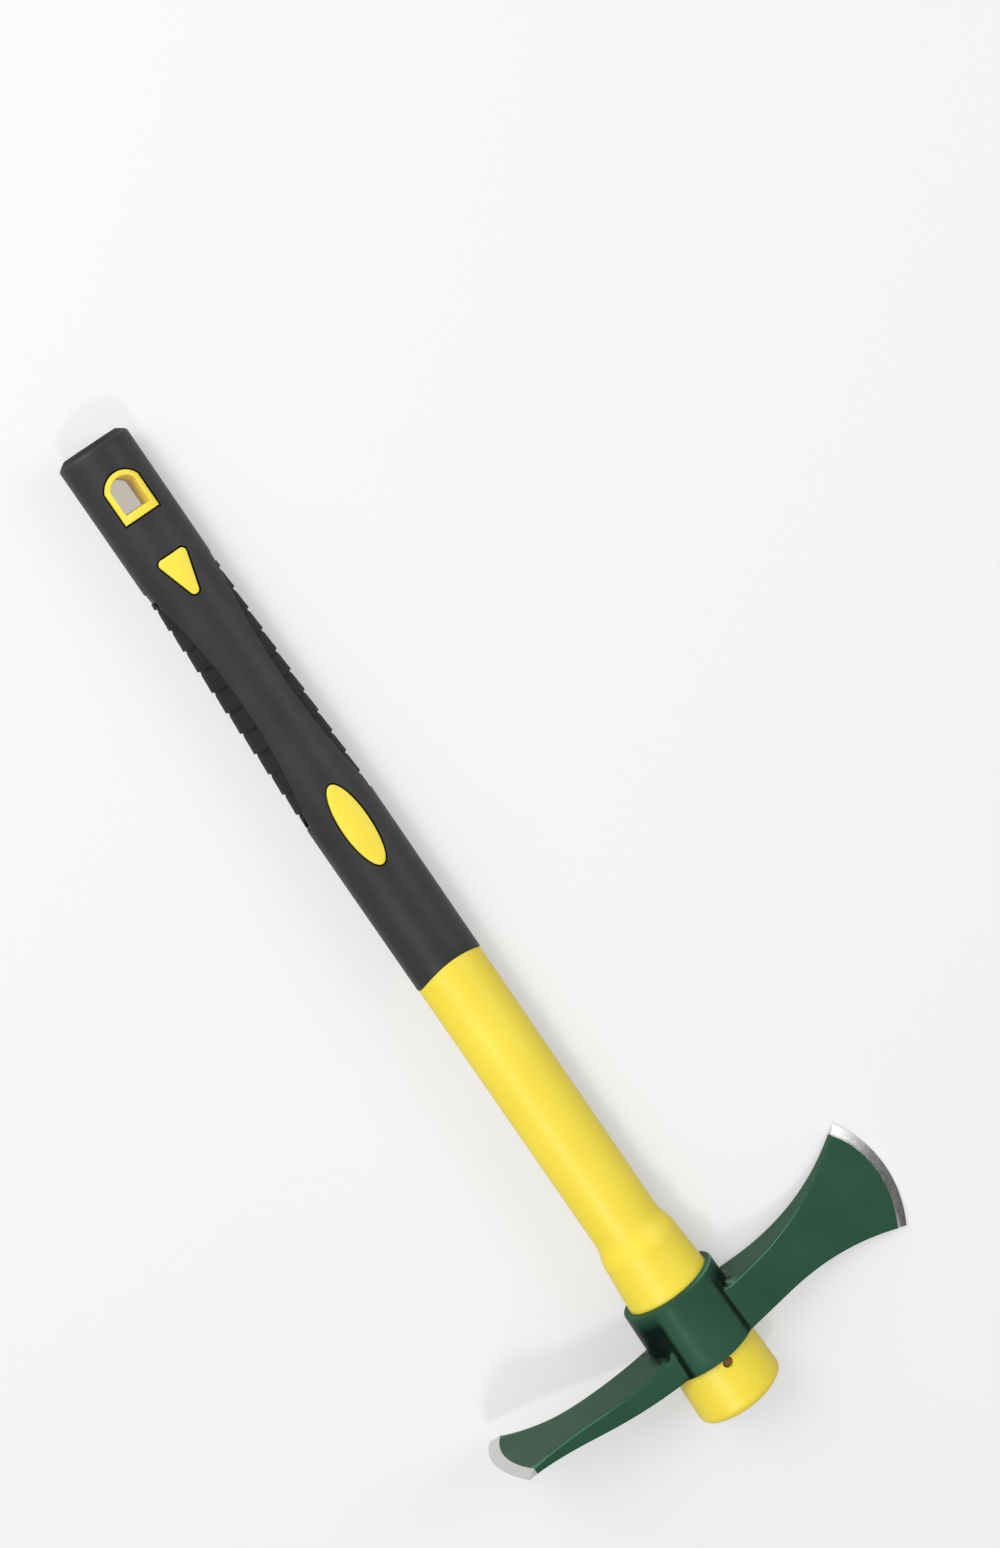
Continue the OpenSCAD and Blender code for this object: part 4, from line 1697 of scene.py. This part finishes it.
    def axe(self) -> Piece:
        """Model the axe blade as rings from the eye to the edge.

        Returns:
            The closed blade.
        """
        low, high = self.axe_bounds()
        blend, half = self.axe_cheek()
        arc = self.axe_arc(self.axe_edge_r - self.axe_bevel_w)
        steps = list(zip(spread(0, 1, STEPS.blade), bulges(arc)))
        start = OVAL.edge_x
        rings = []
        for share in self.root_shares(start, arc[0].x, blend):
            bottom_x, top_x = (start + (end.x - start) * share for end in (arc[0], arc[-1]))
            column = []
            for t, bulge in steps:
                x = bottom_x + (top_x - bottom_x) * t
                y = low(x) + (high(x) - low(x)) * t
                column.append(Vector((x, y)) + bulge * share)
            rings.append(self.blade_ring(column, half, self.edge_round))
        for share in spread(0, 1, STEPS.bevel)[1:]:
            column = self.axe_arc(self.axe_edge_r - self.axe_bevel_w * (1 - share))
            ground = self.axe_bevel_t / 2 + (self.land - self.axe_bevel_t) / 2 * share
            rings.append(self.blade_ring(column, lambda _, ground=ground: ground, self.edge_round))
        edge = self.axe_arc(self.axe_edge_r + self.land / 4)
        rings.append(self.blade_ring(edge, lambda _: 0.0, 0.0))
        return add_loft("axe", rings)

    def blade_ring(self, column: Sequence[Vector], half: Curve, ease: float) -> Ring:
        """One ring round the axe, with eased edges.

        Args:
            column: Points up the cheek, as reach and height.
            half: Half thickness at a reach.
            ease: Radius of the eased edges.

        Returns:
            The ring.
        """
        bottom, top = column[0], column[-1]
        ease = min(ease, self.axe_ease_share * half(top.x), self.axe_ease_share * half(bottom.x))
        up = top.y + self.lift(top.x, half(top.x)) - bottom.y
        cheek = []
        for point in column:
            t = (point.y - bottom.y) / (top.y - bottom.y)
            cheek.append((point.x, bottom.y + ease + (up - 2 * ease) * t, half(point.x)))
        over = self.blade_edge(top, half(top.x) - ease, ease, 1)
        over = [(x, y + self.lift(x, z), z) for x, y, z in over]
        under = self.blade_edge(bottom, half(bottom.x) - ease, ease, -1)
        return [*cheek, *over, *mirrored(reversed(cheek)), *mirrored(under)]

    @staticmethod
    def blade_edge(end: Vector, strip: float, ease: float, sign: int) -> Ring:
        """Points over one narrow edge of the axe, from its front cheek to its back one.

        Args:
            end: The edge's reach and height.
            strip: Half width of the flat strip between both easings.
            ease: Radius of the easings.
            sign: 1 for the upper edge, -1 for the lower one.

        Returns:
            The points.
        """
        turns = quarter(STEPS.edge_round)[1:]
        front = [(end.x, end.y - sign * ease * (1 - s), strip + ease * c) for s, c in turns]
        flat = [(end.x, end.y, z) for z in spread(strip, -strip, STEPS.edge_strip)[1:-1]]
        return [*front, *flat, *mirrored(reversed(front))]

    def hoe_side(self, reach: float) -> float:
        """Half width of the hoe.

        Args:
            reach: Distance from the handle's axis.

        Returns:
            Half the width there.
        """
        corner = self.hoe_middle + math.sqrt(self.hoe_edge_r**2 - (self.hoe_edge_w / 2) ** 2)
        radius = arc_radius(corner - self.hoe_neck_end, (self.hoe_edge_w - self.hoe_neck_w) / 2)
        return self.hoe_neck_w / 2 + sag(radius, max(0.0, reach - self.hoe_neck_end))

    def hoe_low(self, reach: float) -> float:
        """Height of the hoe's lower face."""
        return self.base_y + sag(self.hoe_lower_r, max(0.0, reach - self.hoe_lower_low))

    def hoe_high(self, reach: float) -> float:
        """Height of the hoe's upper face."""
        return self.base_y + self.hoe_neck_h + sag(self.hoe_upper_r, reach - self.hoe_upper_low)

    def ground_high(self, share: float, reach: float) -> float:
        """Height of the hoe's ground face.

        Args:
            share: Share of the way from the paint to the edge.
            reach: Distance from the handle's axis.

        Returns:
            The height.
        """
        back = reach - self.hoe_bevel_w * share
        full = self.hoe_high(back) - self.hoe_low(back)
        return self.hoe_low(reach) + full + (self.land - full) * share

    def hoe_arc(self, radius: float) -> list[Vector]:
        """Points of an arc along the hoe's edge in plan, between its two sides.

        Args:
            radius: Radius of the arc.

        Returns:
            The points from front to back, as reach and depth.
        """
        middle = self.hoe_middle
        end = solve(
            lambda v: math.hypot(v - middle, self.hoe_side(v)) - radius, self.hoe_neck_end, self.hoe_reach
        )
        turn = math.atan2(self.hoe_side(end), end - middle)
        turns = spread(turn, -turn, STEPS.blade)
        return [Vector((middle + radius * math.cos(t), radius * math.sin(t))) for t in turns]

    def hoe(self) -> Piece:
        """Model the hoe blade as rings from the eye to the edge.

        Returns:
            The closed blade.
        """
        blend = RootBlend(self.hoe_neck_w / 2, 0.0, self.collar_r, self.root_fillet_r)
        arc = self.hoe_arc(self.hoe_edge_r - self.hoe_bevel_w)
        steps = list(zip(spread(0, 1, STEPS.blade), bulges(arc)))
        start = OVAL.edge_x
        rings = []
        for share in self.root_shares(start, arc[0].x, blend):
            reach = start + (arc[0].x - start) * share
            side = max(self.hoe_side(reach), blend.half(reach))
            row = [Vector((reach, side * (1 - 2 * t))) + bulge * share for t, bulge in steps]
            faded = min(1.0, self.hoe_round_fade * share)
            ease = self.hoe_root_round + (self.edge_round - self.hoe_root_round) * faded
            rings.append(self.hoe_ring(row, self.hoe_high, ease))
        for share in spread(0, 1, STEPS.bevel)[1:]:
            row = self.hoe_arc(self.hoe_edge_r - self.hoe_bevel_w * (1 - share))
            rings.append(self.hoe_ring(row, partial(self.ground_high, share), self.edge_round))
        rings.append(self.hoe_ring(self.hoe_arc(self.hoe_edge_r + self.land / 4), self.hoe_low, 0.0))
        return add_loft("hoe", rings)

    def hoe_ring(self, row: Sequence[Vector], high: Curve, ease: float) -> Ring:
        """One ring round the hoe, with eased edges.

        Args:
            row: Points across the upper face, as reach and depth, from front to back.
            high: Height of the upper face at a reach.
            ease: Radius of the eased edges.

        Returns:
            The ring.
        """
        end, low = row[0], self.hoe_low(row[0].x)
        ease = min(ease, self.hoe_ease_share * (high(end.x) - low))
        inner = (end.y - ease) / end.y
        upper = [(p.x, high(p.x) + self.lift(p.x, p.y * inner), p.y * inner) for p in row]
        lower = [(p.x, self.hoe_low(p.x), p.y * inner) for p in reversed(row)]
        top, turns = upper[-1][1], quarter(STEPS.edge_round)
        flank = [(top - ease * (1 - c), -end.y + ease * (1 - s)) for s, c in turns[1:]]
        flank += [(y, -end.y) for y in spread(top - ease, low + ease, STEPS.flank)[1:-1]]
        flank += [(low + ease * (1 - s), -end.y + ease * (1 - c)) for s, c in turns[:-1]]
        back = [(end.x, y, z) for y, z in flank]
        return [(-x, y, z) for x, y, z in [*upper, *back, *lower, *mirrored(reversed(back))]]

    def painted_edge_highlight(self, head: Piece) -> list[float]:
        """Find where a painted highlight lies, along raised edges away from the collar.

        Args:
            head: The head, in working millimetres.

        Returns:
            How strong the painted highlight is at each vertex, from 0 to 1.
        """
        faces = {}
        for face in head.data.polygons:
            for key in face.edge_keys:
                faces.setdefault(key, []).append(face)
        edge_highlight = [0.0] * len(head.data.vertices)
        for key, sides in faces.items():
            first, second = sides[0], sides[-1]
            turn = first.normal.angle(second.normal, 0.0)
            raised = (second.center - first.center).dot(first.normal) < 0
            reach = head.data.vertices[key[0]].co.x
            runs = (reach / self.collar_r, (self.highlight_end - reach) / self.axe_root_t)
            if reach < 0:
                runs = (-(reach + self.hoe_upper_low) / self.axe_root_t,)
            if raised and turn > self.highlight_turn:
                for spot in key:
                    edge_highlight[spot] = max(edge_highlight[spot], min(1.0, *runs))
        return edge_highlight

    def painted_corner_shade(self, vertex: bpy.types.MeshVertex) -> float:
        """How strong the painted shade is at a vertex, in the corners beside the blades' roots.

        Args:
            vertex: A vertex of the head, in working millimetres.

        Returns:
            How strong it is, from 0 to 1.
        """
        reach = abs(vertex.co.x)
        if reach >= self.corner_end:
            return 0.0
        hollow = reach > OVAL.edge_x + self.rim_grow
        turned = (abs(vertex.normal.x) - self.corner_turn[hollow]) / self.corner_fade
        below_rim = (self.base_y + self.handle.collar_h - vertex.co.y) / self.root_fillet_r
        return min(1.0, max(0.0, turned)) * min(1.0, max(0.0, below_rim))

    def mark_painted_light(self, head: Piece) -> None:
        """Note the painted light at each vertex: 0 where painted shade is full, 1 where the painted
        highlight is full, else a half.

        Args:
            head: The head, in working millimetres.
        """
        edge_highlight = self.painted_edge_highlight(head)
        drawn = [edge_highlight[v.index] or -self.painted_corner_shade(v) for v in head.data.vertices]
        layer = head.data.attributes.new(PAINTED_LIGHT_MARK, "FLOAT", "POINT")
        layer.data.foreach_set("value", [(1 + value) / 2 for value in drawn])

    def ground_marks(self, head: Piece) -> list[type]:
        """Choose each face's finish, ground or painted, and keep the border between them crisp.

        Args:
            head: The head, in working millimetres.

        Returns:
            The finish of each face.
        """
        axe, hoe = self.axe_middle, self.hoe_middle
        marks, beside = [], {}
        for face in head.data.polygons:
            x, y, z = face.center
            on_axe = x > axe.x and math.hypot(x - axe.x, y - axe.y) > self.axe_edge_r - self.axe_bevel_w
            on_hoe = -x > hoe and math.hypot(-x - hoe, z) > self.hoe_edge_r - self.hoe_bevel_w
            ground = on_axe or on_hoe and y - self.hoe_low(-x) > self.land / 8
            marks.append(GroundSteel if ground else Paint)
            for key in face.edge_keys:
                beside.setdefault(key, set()).add(marks[-1])
        for edge in head.data.edges:
            edge.use_edge_sharp = edge.use_edge_sharp or len(beside[edge.key]) > 1
        return marks

    def build(self, shop: Shop) -> None:
        """Model, dress and hand over the head.

        Args:
            shop: Where it is dressed.
        """
        head = self.collar()
        combine(head, [self.axe(), self.hoe()], Change.JOIN)
        combine(head, [self.eye()], Change.CUT)
        smooth(head)
        self.mark_painted_light(head)
        marks = self.ground_marks(head)
        shop.hand_over(head, "mattock_head", [Paint, GroundSteel], marks)


@dataclass(frozen=True)
class Lamp:
    """A soft round lamp: its place from the object's middle and its width in metres, its power."""

    name: str
    place: Point
    width: float
    power: float

    def hang(self, target: Vector) -> None:
        """Hang the lamp so that it looks at a target.

        Args:
            target: The object's middle.
        """
        light = bpy.data.lights.new(self.name, "AREA")
        light.shape = "DISK"
        light.size = self.width
        light.energy = self.power
        holder = bpy.data.objects.new(self.name, light)
        bpy.context.scene.collection.objects.link(holder)
        holder.location = target + Vector(self.place)
        holder.rotation_euler = (target - holder.location).to_track_quat("-Z", "Y").to_euler()


@dataclass
class Studio:
    """Plain pale floor, soft light from the upper left and the photograph's camera."""

    # The camera in working millimetres, with the photograph's focal length and size in pixels.
    eye_mm: Point = (-170.0, 492.0, 1000.0)
    aim_mm: Point = (65.78, 291.87, 0.0)
    up: Point = (0.57838, 0.81533, -0.02680)
    focal_px: float = 2447.9
    frame_px: tuple[int, int] = (1000, 1548)
    sensor: float = 36.0
    near: float = 0.01
    # The floor and its rim, in metres.
    floor_r: float = 2.8
    rim_r: float = 1.4
    floor_crisp_deg: float = 60.0
    # Where the sky is brightest, and its tones from the far side to there.
    sky_from: Point = (-0.35, 0.55, 0.76)
    sky_places: tuple[float, ...] = (0.0, 0.45, 0.75, 1.0)
    sky_tones: tuple[float, ...] = (0.05, 0.10, 0.30, 0.75)
    lamps: tuple[Lamp, ...] = (
        Lamp("key", (-0.5, 1.0, 1.25), 0.9, 12.0),
        Lamp("back", (-0.35, 1.5, 0.5), 0.8, 5.5),
        Lamp("band", (-0.5, -0.7, 1.35), 0.28, 5.0),
        Lamp("side", (1.25, 0.0, 1.0), 0.95, 6.0),
    )

    def floor(self, level: float) -> None:
        """Lay the floor, with its rim drawn up into a backdrop all round.

        Args:
            level: Height of the floor.
        """
        bpy.ops.object.select_all(action="DESELECT")
        bpy.ops.mesh.primitive_circle_add(
            vertices=STEPS.floor, radius=self.floor_r, fill_type="NGON", location=(0, 0, level)
        )
        floor = bpy.context.object
        floor.name = "floor"
        bpy.ops.object.mode_set(mode="EDIT")
        bpy.ops.mesh.select_all(action="SELECT")
        reach, rise = self.floor_r, 0.0
        for sine, cosine in quarter(STEPS.backdrop)[1:]:
            wider, higher = self.floor_r + self.rim_r * sine, self.rim_r * (1 - cosine)
            bpy.ops.mesh.extrude_edges_move(TRANSFORM_OT_translate={"value": (0, 0, higher - rise)})
            bpy.ops.transform.resize(value=(wider / reach, wider / reach, 1), center_override=(0, 0, level))
            reach, rise = wider, higher
        bpy.ops.object.mode_set(mode="OBJECT")
        smooth(floor, self.floor_crisp_deg)
        floor.data.materials.append(PaleFloor().material())
        floor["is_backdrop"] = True

    def light(self, target: Vector) -> None:
        """Make the soft sky, brightest on the key's side, and hang the lamps.

        Args:
            target: The object's middle, which the lamps look at.
        """
        sky = Board(bpy.data.worlds.new("room"))
        bpy.context.scene.world = sky.owner
        facing = sky.pair("VectorMath", sky.places["Generated"], Vector(self.sky_from).normalized())
        facing.operation = "DOT_PRODUCT"
        share = sky.add("MapRange", Value=facing.outputs["Value"], From_Min=-1.0).outputs["Result"]
        greys = [(tone, tone, tone) for tone in self.sky_tones]
        sky.set(Color=sky.ramp(share, self.sky_places, greys), Strength=1.0)
        for lamp in self.lamps:
            lamp.hang(target)

    def camera(self, matrix: Matrix) -> None:
        """Set the camera up where the photograph was taken.

        Args:
            matrix: From working millimetres to the shared frame.
        """
        eye, aim = matrix @ Vector(self.eye_mm), matrix @ Vector(self.aim_mm)
        back = (eye - aim).normalized()
        right = (matrix.to_3x3() @ Vector(self.up)).cross(back).normalized()
        turn = Matrix((right, back.cross(right), back)).transposed()
        lens = bpy.data.cameras.new("photo_camera")
        lens.sensor_width = self.sensor
        lens.lens = self.focal_px / max(self.frame_px) * self.sensor
        lens.clip_start = self.near
        camera = bpy.data.objects.new("photo_camera", lens)
        camera.matrix_world = Matrix.Translation(eye) @ turn.to_4x4()
        bpy.context.scene.collection.objects.link(camera)
        bpy.context.scene.camera = camera


def main() -> None:
    """Build the pieces in order."""
    logging.basicConfig(level=logging.INFO, format="%(name)s %(message)s")
    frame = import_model()
    cad_box = [list(corner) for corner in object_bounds()]
    shop = Shop(frame)
    handle = Handle()
    grip = Grip(handle.length)
    handle.build(shop, grip)
    grip.build(shop)
    Head(handle).build(shop)
    studio = Studio()
    low, high = (Vector(corner) for corner in cad_box)
    studio.floor(low.z)
    studio.light((low + high) / 2)
    studio.camera(shop.matrix)
    bpy.context.scene.view_settings.view_transform = "Standard"


if __name__ == "__main__":
    main()
